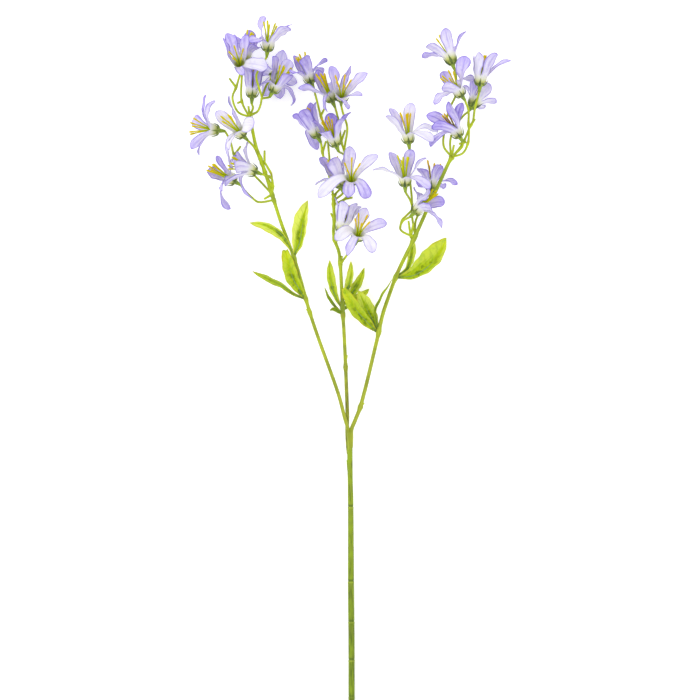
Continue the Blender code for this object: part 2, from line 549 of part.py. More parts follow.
def make_leaf(name, shape):
    """A thin leaf with a folded midrib and, where it has one, a waved edge."""
    line = [Vector(point) for point in shape["path"]]
    last = len(line) - 1
    bm = bmesh.new()
    rows = []
    for index, middle in enumerate(line):
        share = index / last
        ahead = line[min(index + 1, last)] - line[max(index - 1, 0)]
        along = ahead.normalized()
        side = along.cross(Vector((0, 0, 1))).normalized()
        face = side.cross(along)
        roll = math.radians(shape["roll"]) * min(1.0, share / LEAF_ROLLED_BY)
        edge = side * math.cos(roll) + face * math.sin(roll)
        lift = edge.cross(along)
        if index == last:
            rows.append((bm.verts.new(middle * MM),))
            continue
        width = LEAF_FOOT_WIDTH if index == 0 else shape["widths"][index - 1]
        dish = 0.0 if index == 0 else LEAF_DISH
        wave = 0.0 if index == 0 else LEAF_WAVE * shape["wave"] * (-1) ** index
        places = (middle - edge * width * 0.5 + lift * (dish + wave), middle,
                  middle + edge * width * 0.5 + lift * (dish - wave))
        rows.append(tuple(bm.verts.new(place * MM) for place in places))
    for low, high in zip(rows, rows[1:-1]):
        bm.faces.new((low[0], high[0], high[1]))
        bm.faces.new((low[0], high[1], low[1]))
        bm.faces.new((low[1], high[1], low[2]))
        bm.faces.new((high[1], high[2], low[2]))
    end = rows[-1][0]
    bm.faces.new((rows[-2][0], end, rows[-2][1]))
    bm.faces.new((rows[-2][1], end, rows[-2][2]))
    blade = make_object(name, bm)
    thicken = blade.modifiers.new("thickness", "SOLIDIFY")
    thicken.thickness = LEAF_THICKNESS * MM
    thicken.offset = 0.0
    return blade


def make_main_stem(material):
    """The bare stem, with its moulded rings and the knuckle that the branches stand on."""
    start, end = Vector(STEM_CUT_END), Vector(STEM_TOP)
    length = (end - start).length
    stations = [(0.0, STEM_RADIUS)]
    for along in STEM_RINGS_ALONG:
        place = along - start.y
        radius = STEM_RADIUS + (STEM_TOP_RADIUS - STEM_RADIUS) * place / length
        stations += [(place - RING_LENGTH, radius), (place, radius + RING_HEIGHT),
                     (place + RING_LENGTH, radius)]
    stations += [(length - KNUCKLE_LENGTH, STEM_TOP_RADIUS), (length, KNUCKLE_RADIUS)]
    direction = (end - start).normalized()
    points = [start + direction * place for place, _ in stations]
    stem = tube("main_stem", points, [radius for _, radius in stations], STEM_SIDES)
    stem.data.materials.append(material)
    stem.data.shade_smooth()
    stem.data.set_sharp_from_angle(angle=math.radians(SHARP_EDGE_DEG))
    return stem


def make_branch(side, material):
    """One leafy branch: its stem, flower stalks, calyxes, cut shoots and leaves as one solid."""
    name = "branch_" + side
    path = BRANCHES[side]
    last = len(path) - 1
    radii = [BRANCH_RADIUS + (BRANCH_TOP_RADIUS - BRANCH_RADIUS) * k / last for k in range(last + 1)]
    pieces = [tube(name + "_stem", path, radii, BRANCH_SIDES)]
    for number, flower in enumerate(BLOOMS[side], 1):
        label = f"{name}_bloom_{number}"
        base = Vector(flower["base"])
        ahead = Vector(flower["facing"]).normalized()
        socket = base - ahead * SOCKET_LENGTH
        points = [Vector(point) for point in flower["stalk"]] + [socket + ahead * STALK_IN_SOCKET]
        pieces.append(tube(label + "_stalk", points, [STALK_RADIUS] * len(points), STALK_SIDES))
        pieces.append(make_calyx(label + "_calyx", flower))
    for number, (start, end) in enumerate(SHOOTS[side], 1):
        radii = (SHOOT_RADIUS, SHOOT_RADIUS)
        pieces.append(tube(f"{name}_shoot_{number}", (start, end), radii, STALK_SIDES))
    for number, shape in enumerate(LEAVES[side], 1):
        pieces.append(make_leaf(f"{name}_leaf_{number}", shape))
    return fuse(name, pieces, material)


def place_bloom(parts, flower):
    for part in parts:
        part.rotation_mode = "QUATERNION"
        part.rotation_quaternion = facing_turn(flower["facing"])
        part.location = Vector(flower["base"]) * MM


def rest_on_origin(parts):
    """Move everything so that the origin is under the middle of the spray, at the table."""
    bpy.context.view_layer.update()
    graph = bpy.context.evaluated_depsgraph_get()
    low = Vector((math.inf,) * 3)
    high = Vector((-math.inf,) * 3)
    for part in parts:
        shown = part.evaluated_get(graph)
        for vertex in shown.data.vertices:
            place = shown.matrix_world @ vertex.co
            low = Vector(map(min, low, place))
            high = Vector(map(max, high, place))
    frame = bpy.data.objects.new("spray_frame", None)
    bpy.context.scene.collection.objects.link(frame)
    frame.location = (-(low.x + high.x) / 2, -(low.y + high.y) / 2, -low.z)
    for part in parts:
        part.parent = frame


def main():
    clear_scene()
    stem_green, lavender, yellow = (make_material(kind) for kind in COLORS)
    chance = random.Random(STAMEN_SEED)
    parts = [make_main_stem(stem_green)]
    for side, flowers in BLOOMS.items():
        parts.append(make_branch(side, stem_green))
        for number, flower in enumerate(flowers, 1):
            petals = make_petals(f"petals_{side}_{number}", flower, lavender)
            stamens = make_stamens(f"stamens_{side}_{number}", flower, yellow, chance)
            place_bloom((petals, stamens), flower)
            parts += [petals, stamens]
    rest_on_origin(parts)


main()
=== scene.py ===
import math
import random

import bmesh
import bpy
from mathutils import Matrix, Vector


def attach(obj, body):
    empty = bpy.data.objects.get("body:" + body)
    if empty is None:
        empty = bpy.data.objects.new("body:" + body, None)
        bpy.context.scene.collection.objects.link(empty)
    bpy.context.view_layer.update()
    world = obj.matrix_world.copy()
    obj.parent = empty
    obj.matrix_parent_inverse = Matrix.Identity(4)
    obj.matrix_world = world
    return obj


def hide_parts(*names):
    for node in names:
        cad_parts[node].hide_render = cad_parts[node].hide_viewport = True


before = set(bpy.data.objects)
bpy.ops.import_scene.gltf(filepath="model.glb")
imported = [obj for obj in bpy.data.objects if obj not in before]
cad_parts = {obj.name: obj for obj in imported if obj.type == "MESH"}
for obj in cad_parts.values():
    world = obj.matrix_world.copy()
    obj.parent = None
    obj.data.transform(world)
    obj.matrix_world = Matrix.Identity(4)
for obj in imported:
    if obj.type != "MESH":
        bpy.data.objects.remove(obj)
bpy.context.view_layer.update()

# Places in the tables are millimetres: across from the main stem, along it, above the table.
mm = 0.001
tableShift = Vector((0.061, -339.231, 0.0))   # puts the tables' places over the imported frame
chance = random.Random(24)


def inFrame(point):
    return (Vector(point) + tableShift) * mm


def bloom(base, facing, stalk, petals):   # a petal is its tip seen from the base, then width, twist, curl
    return {"base": base, "facing": facing, "stalk": stalk, "petals": petals}


def leaf(path, widths, roll=0.0, wave=0.0):
    return {"path": path, "widths": widths, "roll": roll, "wave": wave}


blooms = {
    "left": [
        bloom((-82.5, 650, 48), (0.1, 0.95, 0.25),
              [(-99, 585, 42), (-92, 589, 44), (-88.3, 602, 48.5), (-91, 612, 55),
               (-93.5, 624, 57), (-88, 635, 54)],
              [(-7, 33, -14, 1.15, 80), (-18, 7, 22, 1, -25), (24, 20, 14, 1.15, 0, 45), (24, 26, -12),
               (4, 12, -30)]),
        bloom((-109.5, 634, 52), (-0.15, 0.45, 0.88),
              [(-100, 583, 42), (-112, 588, 51.5), (-117.4, 602, 52), (-113.6, 613, 49), (-111, 622, 46)],
              [(28, -2, 14, 1.35), (6, 31, 8), (-12, 33, -4, 1, 30), (-17, 28, 16, 0.8),
               (4, -10, 33, 0.65, 75)]),
        bloom((-98, 604, 34), (0.05, 0.97, 0.2),
              [(-100, 585, 41), (-97, 592, 37)],
              [(10, 30, 15, 0.85), (-7, 30, 16, 0.85), (-11, 33, 2, 0.8), (16, 32, 1, 0.85),
               (2, 34, -8, 0.85)]),
        bloom((-77, 609, 44), (0.45, 0.8, 0.3),
              [(-88.4, 601.2, 47.6), (-84.5, 602, 43.5)],
              [(17, 32, -18), (0, 34, 15), (18, 16, 20), (18, -15, -4, 1, 0, 75), (-17, 1, 4, 0.8)]),
        bloom((-106, 640, 20), (0.2, 0.93, -0.2),
              [(-100, 582, 41.5), (-107, 595, 36), (-109, 604, 29), (-108.5, 622, 21)],
              [(-10, 26, -12), (4, 31, -14), (18, 24, -2), (15, 13, 18), (-16, 15, 16)]),
        bloom((-75, 625, 31.7), (0.05, -0.05, -1),
              [(-88.7, 600.6, 47.5), (-87, 606, 36), (-84, 614, 33), (-79, 621, 38)],
              [(8, 26, -25), (22, -7, -26), (-12, -20, -31), (5, -23, -27), (-20, 9, -27)]),
        bloom((-132.4, 569.8, 36), (-0.97, 0.12, 0.2),
              [(-79, 507, 36), (-94, 523, 23), (-109, 536, 17), (-116, 545, 22), (-119.5, 558, 31)],
              [(-12, 35.5, 12, 0.6, 65), (-3, 30.5, -14, 0.7, 60), (-24, 14, -20),
               (-26, -19.5, 12, 0.75, 70), (-19, -24.5, -12)]),
        bloom((-107, 564.5, 50), (-0.6, 0.62, 0.5),
              [(-90.5, 541, 40), (-96, 553, 43)],
              [(-27, 24, 6), (-14, 39, -18, 0.6, -60), (11, 9, 23, 1.4),
               (-14, -15, 24), (-10, -34, 4, 0.7, 70)]),
        bloom((-95, 528.3, 47), (-0.86, 0.34, 0.35),
              [(-77, 513, 38), (-78, 521, 41), (-82, 524, 43)],
              [(-6.5, 30, -13, 0.9, 30), (-20, 17, -21), (-20, 3, 26), (-30, -14.5, 6),
               (-3, -27.5, -12, 0.8)]),
        bloom((-116, 519, 32), (-0.75, 0.45, 0.35),
              [(-76.3, 500, 35), (-91.4, 498, 33), (-98.6, 503, 31), (-106, 510.5, 30)],
              [(-27, 9, 4), (-17, 26, -14, 0.45, 70), (2, 26, 14, 0.7), (-4, -28, -8, 1, 30),
               (-12, -10, 27)]),
    ],
    "middle": [
        bloom((-39, 618, 40), (-0.35, 0.9, 0.15),
              [(-17, 505, 33), (-20, 535, 33), (-21.4, 550, 34), (-23, 565, 32), (-29.4, 585, 29),
               (-33.5, 601, 32)],
              [(-18, 8, 30), (-16, 27, -6), (16, 21, -10), (-7, 25, 24), (12, 10, -28)]),
        bloom((-18, 599.5, 45), (-0.4, 0.9, 0.2),
              [(-5.5, 548, 32), (-9, 560, 33), (-10.5, 574, 35), (-13, 586, 40)],
              [(-13, 31, -2), (3, 31, -6), (-34, 12, 6, 0.65, 70), (-5, -12, 22, 0.8, 50, 70),
               (2, 20, -29)]),
        bloom((-8.5, 600, 52), (0.05, 0.68, 0.72),
              [(-15.8, 505, 33.2), (-6, 516, 30), (-1, 530, 30), (-5.5, 548, 32), (-2.7, 572, 40),
               (-7, 587, 44.5)],
              [(-9, 34, -2, 1, -40), (10, 34, 2, 0.7, 70), (26, 27, 8), (21, 4, 22), (7, -10, 29)]),
        bloom((-32.5, 564, 34), (-0.45, 0.88, 0.1),
              [(-17, 505, 33), (-22, 528, 31), (-27, 545, 32)],
              [(-25, 21, 4, 1, 30), (-16, 26, 18), (-9, 33, -14), (0, -13, -26, 0.8), (-2, 34, 8)]),
        bloom((-14, 555, 52), (-0.35, 0.9, 0.3),
              [(-4.8, 545, 31.7), (-8.5, 547, 41)],
              [(-23.5, 24, 6), (-3, 32, -8), (15, 33, -4, 0.6), (8, 27, 14), (-14, 12, 28)]),
        bloom((1, 517, 44), (0.05, 0.62, 0.78),
              [(-16.4, 495, 33), (-10, 498.5, 31), (-4, 502, 30), (-1.5, 507, 32)],
              [(-1, 37, 4), (27, 28, 6, 0.85), (16, -16, 14, 1, 0, 60), (-3, -15, 26), (-33, -15, 12)]),
        bloom((-9, 514, 40), (-0.3, 0.9, 0.25),
              [(-16.2, 500, 33.2), (-11.5, 503, 35)],
              [(-21, 29, -3), (-10, 27, 22, 1.15), (4, 33, 2), (-26, 1, 7), (-1, 14, -29, 0.85)]),
        bloom((7, 461, 46), (0.2, 0.72, 0.66),
              [(-9, 437, 29), (-3, 445, 32), (3, 453, 36)],
              [(30, 16, 4), (16, -14, 18), (10, 31, 4), (-22, -1, 24), (-10, -17, 21, 0.8, 50)]),
        bloom((-9, 468, 42), (0.2, 0.95, 0.0),
              [(-15, 459, 30)],
              [(3, 31, 14, 0.9), (16, 29, 8, 0.85), (20, 26, -9), (3, 25, -25), (-6, 35, -1, 0.9)]),
    ],
    "right": [
        bloom((102, 637, 46), (-0.3, 0.85, -0.35),
              [(102, 543, 40), (94, 553, 39), (94, 566, 34), (99, 590, 30), (106, 606, 32), (106, 624, 39)],
              [(-7, 35, 2), (14, 32, -8, 0.7), (-26, 17, 5), (-30, 6, -14, 1.15, 30), (2, 17, -28)]),
        bloom((111, 605, 52), (-0.5, 0.7, 0.45),
              [(102, 543, 40), (113, 547, 41), (118, 557, 42), (119, 568, 41), (118.5, 577, 40),
               (118.5, 589, 42)],
              [(5, 39, -2, 1.35, 100, 20), (-20, 6, 20), (-27, -10, 12), (-18, 24, -6), (12, 14, -24)]),
        bloom((130, 615.5, 44), (0.1, 0.98, 0.1),
              [(104, 545, 41), (113, 557, 41), (119, 571, 40), (123, 579, 38), (124.8, 591, 38)],
              [(1, 31, 16, 0.9), (17, 31, 12, 0.9), (31, 24, 0), (10, 27, -19), (-5, 28, -8)]),
        bloom((122, 594, 29), (0.45, 0.7, -0.5),
              [(101, 544, 40), (100.4, 560, 36), (106, 575, 28), (114, 585, 28)],
              [(19, 22, -6), (25, 4, -10), (0, 27, -10), (-8, 20, -22), (8, -2, -29)]),
        bloom((109, 564, 48), (-0.5, 0.8, 0.35),
              [(104, 545, 41), (112, 553, 43)],
              [(-11, 34, 12, 1.2, 0, 20), (4, 33, 0, 0.7, 55), (-33, 21, -6), (-29, -11, 10),
               (-28, 8, 20)]),
        bloom((58.6, 558, 44), (-0.12, 0.97, 0.2),
              [(65.4, 464, 31.4), (62, 485, 30), (62, 500, 29), (60, 520, 31), (58.5, 540, 38)],
              [(4, 39, -4), (-19, 34, -6), (-23, 26, 10), (30, 11, -12, 1, 60), (25, 0, 20, 1, 60)]),
        bloom((55, 515, 50), (-0.05, 0.95, 0.3),
              [(50.2, 472.2, 37), (52, 480, 36), (57, 485, 37), (62, 491, 40), (60, 500, 45)],
              [(-15.5, 33, -4, 1.1), (8, 35, 0), (-32, 15, 6), (21, 27, 3, 0.85, -20),
               (25, -4, 22, 1, 50)]),
        bloom((81, 510, 29), (0.1, 0.9, -0.35),
              [(65.4, 464, 31.4), (66, 480, 26), (76, 497, 27)],
              [(12, 24, 0), (27, 6, -6, 1, 70), (13, 2, -26), (-12, 4, -26), (-12, 22, 8)]),
        bloom((65, 488, 46), (0.65, 0.65, 0.35),
              [(65, 463, 31.3), (53, 468, 35), (50, 472, 37), (53, 479, 39)],
              [(30, 10, -2), (27, -16, 6), (15, 23, 14), (0, 22, -18), (18, 0, 30)]),
    ],
}

branches = {
    "left": [(-2, 270.4, 20.2), (-5, 281, 21), (-12, 307, 22), (-31, 360, 24.5), (-41, 390, 26),
             (-50.3, 423.5, 28), (-56.4, 443.4, 29.5), (-64, 464, 31), (-70.2, 481, 33), (-79, 509, 36),
             (-84.3, 525.4, 38), (-89.6, 541.4, 40), (-94.1, 554, 41), (-98.6, 575.4, 42), (-100, 583, 42)],
    "middle": [(-1.1, 270.4, 16.2), (-2.6, 284, 16.6), (-4, 323, 19), (-5.6, 360, 21), (-7, 384, 22.5),
               (-8, 403, 24), (-9.4, 431, 26.5), (-11.1, 448, 28.5), (-15.4, 460, 30), (-16.6, 469, 31),
               (-15.7, 481, 32), (-16.4, 496, 33), (-16, 506, 33.5)],
    "right": [(1.5, 270.4, 20), (4.5, 278, 20.4), (11, 295, 21.4), (27, 360, 24.5), (32.7, 385.4, 26),
              (39.4, 405.5, 27), (46, 423.6, 28.3), (52, 437, 29), (63.4, 460, 31), (74.7, 485, 33.5),
              (87.4, 512.5, 36.5), (94.4, 528, 38.5), (99.3, 538.4, 39.8), (102, 543, 40.3)],
}

shoots = {   # where each cut side shoot starts and ends
    "left": [((-100, 582, 42), (-101.6, 594, 43)), ((-113.6, 612, 49), (-120.7, 621.6, 50)),
             ((-108, 599, 32.5), (-112.5, 597, 36)), ((-116, 545, 22), (-109.5, 554, 26)),
             ((-85, 527, 38), (-77, 512, 38)), ((-85.5, 537, 41), (-85.4, 549.5, 43)),
             ((-77, 512, 38), (-79, 504, 35.5)), ((-77, 512, 38), (-78.5, 526, 40.5)),
             ((-78.5, 526, 40.5), (-86, 539, 41)), ((-79, 505, 36), (-86, 501, 37)),
             ((-40, 387, 26), (-43.5, 391, 27))],
    "middle": [((-15.7, 480, 32), (-19.3, 487, 33)), ((-5.6, 333, 19.5), (-3, 345, 20.5)),
               ((-29.4, 584, 29), (-25.4, 592, 30)), ((-27.5, 548, 32.5), (-24, 559, 33)),
               ((-8.7, 559, 33), (-4.8, 570, 36)), ((-4, 501.5, 30), (2.5, 502.5, 32)),
               ((-9.5, 436, 27), (-8, 444, 30))],
    "right": [((101.5, 542, 40), (103.9, 555, 42)), ((121, 575, 39), (125, 581, 38.5)),
              ((61, 462, 31), (58.5, 479, 36)), ((61, 464, 31), (63.5, 477, 37)),
              ((10, 293, 21.3), (14, 297, 22)), ((116, 558, 42), (109, 556, 44))],
}

leaves = {
    "left": [
        leaf([(-56.4, 443.4, 29.5), (-61, 454, 33), (-70, 465, 35), (-84, 473.5, 33), (-101, 477.5, 27)],
             (5, 9, 8), 15),
        leaf([(-56.4, 442, 29.5), (-53, 455, 35), (-51, 470, 38), (-48, 486, 37), (-42, 500, 32)],
             (10, 14.5, 11.5), -10, 1),
        leaf([(-45, 401, 26.5), (-56, 406, 29), (-68, 414.5, 30), (-80, 420.5, 27), (-98, 429, 21)],
             (4, 6.5, 6.5), 35),
        leaf([(-44.5, 400, 26.5), (-52, 412, 31), (-58, 422, 34), (-62, 436, 33), (-65.5, 450, 30)],
             (8.5, 13.5, 12), -10, 1),
    ],
    "middle": [
        leaf([(-7.5, 391, 23.3), (-13, 401, 27), (-17.5, 415, 30), (-19.5, 428, 30), (-20.4, 440.4, 27)],
             (4.5, 8, 7.5), 10),
        leaf([(-7, 384, 22.5), (-12, 391, 22), (-18.5, 399, 21), (-22, 405, 19), (-25.6, 413, 16)],
             (2.5, 4, 3), 40),
        leaf([(-7.8, 397, 23.7), (-4.5, 407, 27.5), (-1.5, 417, 31), (0.5, 428, 33), (1, 439.4, 33)],
             (4, 7, 6), 0),
        leaf([(-7.5, 393, 23.3), (-1.5, 402, 20), (5, 412, 18), (10.5, 422, 18), (14.5, 432.7, 20)],
             (5, 8.6, 7), 0),
        leaf([(-7.7, 390, 23.2), (1, 396, 16), (8, 402, 14.5), (14, 406.5, 15), (19.5, 411.5, 17)],
             (5, 9, 7), 0),
        leaf([(-7.1, 385.5, 22.6), (-11, 388.5, 25), (-14, 390.5, 26.5), (-17, 391, 27),
              (-20.5, 389.5, 26)],
             (3, 4.5, 3.5), 10),
    ],
    "right": [
        leaf([(28, 367, 24.9), (18, 377, 30), (7, 389, 35), (-1, 402, 37), (-6.5, 412, 36)],
             (9, 12.5, 12), 20),
        leaf([(28, 366, 24.9), (23, 379, 25), (17, 391, 27), (12, 402, 28), (8, 410, 27)],
             (10, 15, 13), -5, 1),
        leaf([(28, 369, 24.9), (26, 389, 31), (32, 403.5, 35), (38, 413, 36.5), (42, 421, 37)],
             (4, 6, 4), 65),
        leaf([(45.5, 422, 28.2), (60, 425.5, 33), (72.5, 434, 36), (84.5, 446.5, 36), (96.5, 462.5, 32)],
             (11, 18.5, 18), 5, 1),
        leaf([(46.5, 424, 28.3), (57, 431, 24.5), (61, 441, 22), (62.5, 452, 21), (62, 464, 21)],
             (4, 7, 7.5), 10),
    ],
}


# Curves
def mix(low, high, share):
    return low + (high - low) * share


def ease(value, low=0.0, high=1.0):
    share = min(1.0, max(0.0, (value - low) / (high - low)))
    return share * share * (3 - 2 * share)


def hump(distance, reach):   # 1 at no distance, and soft
    return math.exp(-(distance / reach) ** 2)


def lengthOf(path):
    return sum((end - start).length for start, end in zip(path, path[1:]))


def hermite(start, startSlope, endSlope, end, u):   # a curve that leaves and arrives at the slopes
    return (start * (2 * u ** 3 - 3 * u ** 2 + 1) + end * (3 * u ** 2 - 2 * u ** 3)
            + startSlope * (u ** 3 - 2 * u ** 2 + u) + endSlope * (u ** 3 - u ** 2))


def bezier(start, startPull, endPull, end, u):
    rest = 1 - u
    return (start * rest ** 3 + startPull * 3 * rest ** 2 * u
            + endPull * 3 * rest * u ** 2 + end * u ** 3)


def smoothPath(points, step):   # a smooth line through the points, with a place about every step
    points = [Vector(point) for point in points]
    gaps = [(end - start).length for start, end in zip(points, points[1:])]
    slopes = []
    for k in range(len(points)):
        low, high = max(k - 1, 0), min(k + 1, len(points) - 1)
        slopes.append((points[high] - points[low]) / sum(gaps[low:high]))
    line = []
    for k, gap in enumerate(gaps):
        count = max(1, round(gap / step))
        line += [hermite(points[k], slopes[k] * gap, slopes[k + 1] * gap, points[k + 1], i / count)
                 for i in range(count)]
    return line + [points[-1]]


def heading(line, k, behind=1, ahead=1):   # which way a line runs at its place k
    return (line[min(k + ahead, len(line) - 1)] - line[max(k - behind, 0)]).normalized()


def squareTo(along, direction):   # what of a direction stands square to along
    return (direction - along * direction.dot(along)).normalized()


def upright(along):
    return squareTo(along, Vector((0, 1, 0)) if abs(along.z) > 0.9 else Vector((0, 0, 1)))


def around(angle, radius=1.0, height=0.0):   # a place round the Z axis
    return Vector((math.cos(angle) * radius, math.sin(angle) * radius, height))


def facingTurn(flower):   # from a bloom's own space, +Z along its axis, to the table's
    return Vector(flower["facing"]).to_track_quat("Z", "Y")


# Meshes
def addObject(name, data):
    made = bpy.data.objects.new(name, data)
    bpy.context.scene.collection.objects.link(made)
    return made


class Skin:   # a mesh in the making; its points carry what the materials read
    # The dull trait carries painted shade along the branches.
    traits = {"edgeGap": 5.0, "ribGap": 5.0, "tone": 0.5, "aged": 0.0, "dull": 0.0, "seed": 0.0}

    def __init__(self):
        self.bm = bmesh.new()
        for name in self.traits:
            self.bm.verts.layers.float.new(name)
        self.layers = {name: self.bm.verts.layers.float[name] for name in self.traits}
        self.uv = self.bm.loops.layers.uv.new("UVMap")

    def point(self, place, **given):
        vertex = self.bm.verts.new(inFrame(place))
        for name, usual in self.traits.items():
            vertex[self.layers[name]] = given.get(name, usual)
        return vertex

    def face(self, corners):   # a corner is a vertex with its u and v
        corners = [corner for k, corner in enumerate(corners)
                   if corner[0] not in [other[0] for other in corners[:k]]]
        made = self.bm.faces.new([vertex for vertex, u, v in corners])
        made.smooth = True
        for loop, (vertex, u, v) in zip(made.loops, corners):
            loop[self.uv].uv = (u, v)

    def strips(self, rows):   # faces between each row of corners and the next
        for low, high in zip(rows, rows[1:]):
            for k in range(len(low) - 1):
                self.face([low[k], high[k], high[k + 1], low[k + 1]])

    def tube(self, rings):   # a closed form from rings of corners, with a face at each end
        self.strips([ring + [(ring[0][0], 1.0, ring[0][2])] for ring in rings])
        self.face(rings[0])
        self.face(rings[-1][::-1])

    def rod(self, path, radius, sides, flat=1.0, up=None, span=(0.0, 1.0), **given):
        total = lengthOf(path)
        turns = [math.tau * (i + 0.5) / sides for i in range(sides)]
        done, rings = 0.0, []
        for k, middle in enumerate(path):
            done += (middle - path[k - 1]).length if k else 0.0
            along = heading(path, k)
            up = upright(along) if up is None else squareTo(along, up)
            across = along.cross(up)
            size = radius(done, done / total)
            traits = {name: value(done) if callable(value) else value for name, value in given.items()}
            v = span[0] + (span[1] - span[0]) * done / total
            ring = []
            for i, turn in enumerate(turns):
                out = up * math.cos(turn) * flat + across * math.sin(turn)
                ring.append((self.point(middle + out * size, **traits), i / sides, v))
            rings.append(ring)
        self.tube(rings)

    def piece(self, name, materials, nodes, slotName, closed=True):
        if closed:
            bmesh.ops.recalc_face_normals(self.bm, faces=self.bm.faces)
        mesh = bpy.data.meshes.new(name)
        self.bm.to_mesh(mesh)
        self.bm.free()
        for material in materials:
            mesh.materials.append(material)
        made = addObject(name, mesh)
        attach(made, "root")
        if nodes:
            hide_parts(*nodes)
        return made


def thicken(piece, thickness, offset, outside=0):   # outside is the material of the far side and the rim
    skin = piece.modifiers.new("thickness", "SOLIDIFY")
    skin.thickness = thickness * mm
    skin.offset = offset
    skin.material_offset = outside
    skin.material_offset_rim = outside


# Shader helpers
def tint(red, green, blue):   # a screen colour, 0 to 255, as the linear one that a socket takes
    def linear(value):
        value /= 255
        return value / 12.92 if value <= 0.04045 else ((value + 0.055) / 1.055) ** 2.4
    return (linear(red), linear(green), linear(blue), 1.0)


def coat(red, green, blue, strength=1.0):   # a colour that goes over others, and how strongly
    return tint(red, green, blue), strength


def addNode(tree, kind, given=(), **settings):   # given is values in the inputs' order, or by their names
    node = tree.nodes.new("ShaderNode" + kind)
    for name, setting in settings.items():
        setattr(node, name, setting)
    for key, value in given.items() if isinstance(given, dict) else enumerate(given):
        if isinstance(value, bpy.types.NodeSocket):
            tree.links.new(value, node.inputs[key])
        else:
            node.inputs[key].default_value = value
    return node


def maths(tree, operation, *values, clamp=False):
    return addNode(tree, "Math", values, operation=operation, use_clamp=clamp).outputs[0]


def times(tree, first, *others):
    for other in others:
        first = maths(tree, "MULTIPLY", first, other, clamp=True)
    return first


def uneven(tree, value, mottle, swing):   # a value that a noise moves by half the swing either way
    return maths(tree, "ADD", value, maths(tree, "MULTIPLY_ADD", mottle, swing, -swing / 2))


def between(tree, value, low, high, fromValue=0.0, toValue=1.0):   # a smooth step
    given = (value, low, high, fromValue, toValue)
    return addNode(tree, "MapRange", given, interpolation_type="SMOOTHSTEP").outputs["Result"]


def paint(tree, colour, *coats):   # each mask and its coat go over the ones before
    for mask, (over, strength) in coats:
        given = {"Factor": times(tree, mask, strength) if strength < 1 else mask, "A": colour, "B": over}
        colour = addNode(tree, "Mix", given, data_type="RGBA").outputs["Result"]
    return colour


def ramp(tree, value, *stops):
    node = addNode(tree, "ValToRGB", (value,))
    while len(node.color_ramp.elements) < len(stops):
        node.color_ramp.elements.new(0.5)
    for element, (position, colour) in zip(node.color_ramp.elements, stops):
        element.position = position
        element.color = colour
    return node.outputs["Color"]


def attribute(tree, name):
    return addNode(tree, "Attribute", attribute_name=name).outputs["Fac"]


def uvParts(tree):
    uv = addNode(tree, "UVMap", uv_map="UVMap").outputs["UV"]
    parts = addNode(tree, "SeparateXYZ", (uv,)).outputs
    return parts["X"], parts["Y"]


def objectPlace(tree):
    return addNode(tree, "TexCoord").outputs["Object"]


def vector(tree, *parts):
    return addNode(tree, "CombineXYZ", parts).outputs["Vector"]


def noise(tree, place, scale, detail=3.0):
    given = {"Vector": place, "Scale": scale, "Detail": detail, "Roughness": 0.55}
    return addNode(tree, "TexNoise", given).outputs["Fac"]


def longNoise(tree, u, v, across, along, detail=3.0, seed=0.0):   # noise drawn out over the surface
    place = vector(tree, maths(tree, "MULTIPLY", u, across), maths(tree, "MULTIPLY", v, along), seed)
    return noise(tree, place, 1.0, detail)


def newGroup(name, inputs, outputs):   # Place is a vector, and every other socket is a plain value
    group = bpy.data.node_groups.new(name, "ShaderNodeTree")
    for way, labels in (("INPUT", inputs), ("OUTPUT", outputs)):
        for label in labels:
            kind = "NodeSocketVector" if label == "Place" else "NodeSocketFloat"
            group.interface.new_socket(label, in_out=way, socket_type=kind)
    return group, group.nodes.new("NodeGroupInput").outputs, group.nodes.new("NodeGroupOutput").inputs


def makeWovenCloth():   # threads both ways with small slubs, for petals and leaves
    group, given, result = newGroup("wovenCloth", ("Across", "Along", "Threads"), ("Height",))
    across, along, threads = given["Across"], given["Along"], given["Threads"]
    waves = []
    for place, stretch in ((across, 1.0), (along, 3.0)):
        turns = maths(group, "MULTIPLY", maths(group, "MULTIPLY", place, threads), math.tau * stretch)
        waves.append(maths(group, "SINE", turns))
    slub = longNoise(group, across, along, threads, 8.0)
    woven = maths(group, "MULTIPLY", *waves)
    group.links.new(maths(group, "MULTIPLY_ADD", woven, 0.25, slub), result["Height"])
    return group


def makeInkMottle():   # uneven ink: soft patches, long streaks and lengthwise pleats
    group, given, result = newGroup("inkMottle", ("Place", "Across", "Along", "Seed"),
                                    ("Patches", "Streaks", "Pleats"))
    seed = given["Seed"]
    moved = addNode(group, "VectorMath", (given["Place"], vector(group, seed, seed, seed)), operation="ADD")
    group.links.new(noise(group, moved.outputs[0], 170.0, 4.0), result["Patches"])
    for label, across, along, detail in (("Streaks", 13.0, 2.2, 5.0), ("Pleats", 5.0, 1.5, 1.0)):
        drawnOut = longNoise(group, given["Across"], given["Along"], across, along, detail,
                             maths(group, "MULTIPLY", seed, 7.3))
        group.links.new(drawnOut, result[label])
    return group


def makeMouldedSkin():   # flow lines and pits of moulded plastic, and where dirt has settled
    group, given, result = newGroup("mouldedSkin", ("Place", "Around"), ("Height", "Dirt"))
    pits = noise(group, given["Place"], 900.0)
    flow = longNoise(group, given["Around"], 0.0, 14.0, 0.0, 4.0)
    group.links.new(maths(group, "MULTIPLY_ADD", pits, 0.4, flow), result["Height"])
    group.links.new(between(group, noise(group, given["Place"], 90.0, 5.0), 0.42, 0.68), result["Dirt"])
    return group


wovenCloth = makeWovenCloth()
inkMottle = makeInkMottle()
mouldedSkin = makeMouldedSkin()


def placeGroup(tree, group, **given):
    return addNode(tree, "Group", given, node_tree=group).outputs


def placeInk(tree, u, v):
    return placeGroup(tree, inkMottle, Place=objectPlace(tree), Across=u, Along=v,
                      Seed=attribute(tree, "seed"))


def placeMoulded(tree, u):
    return placeGroup(tree, mouldedSkin, Place=objectPlace(tree), Around=u)


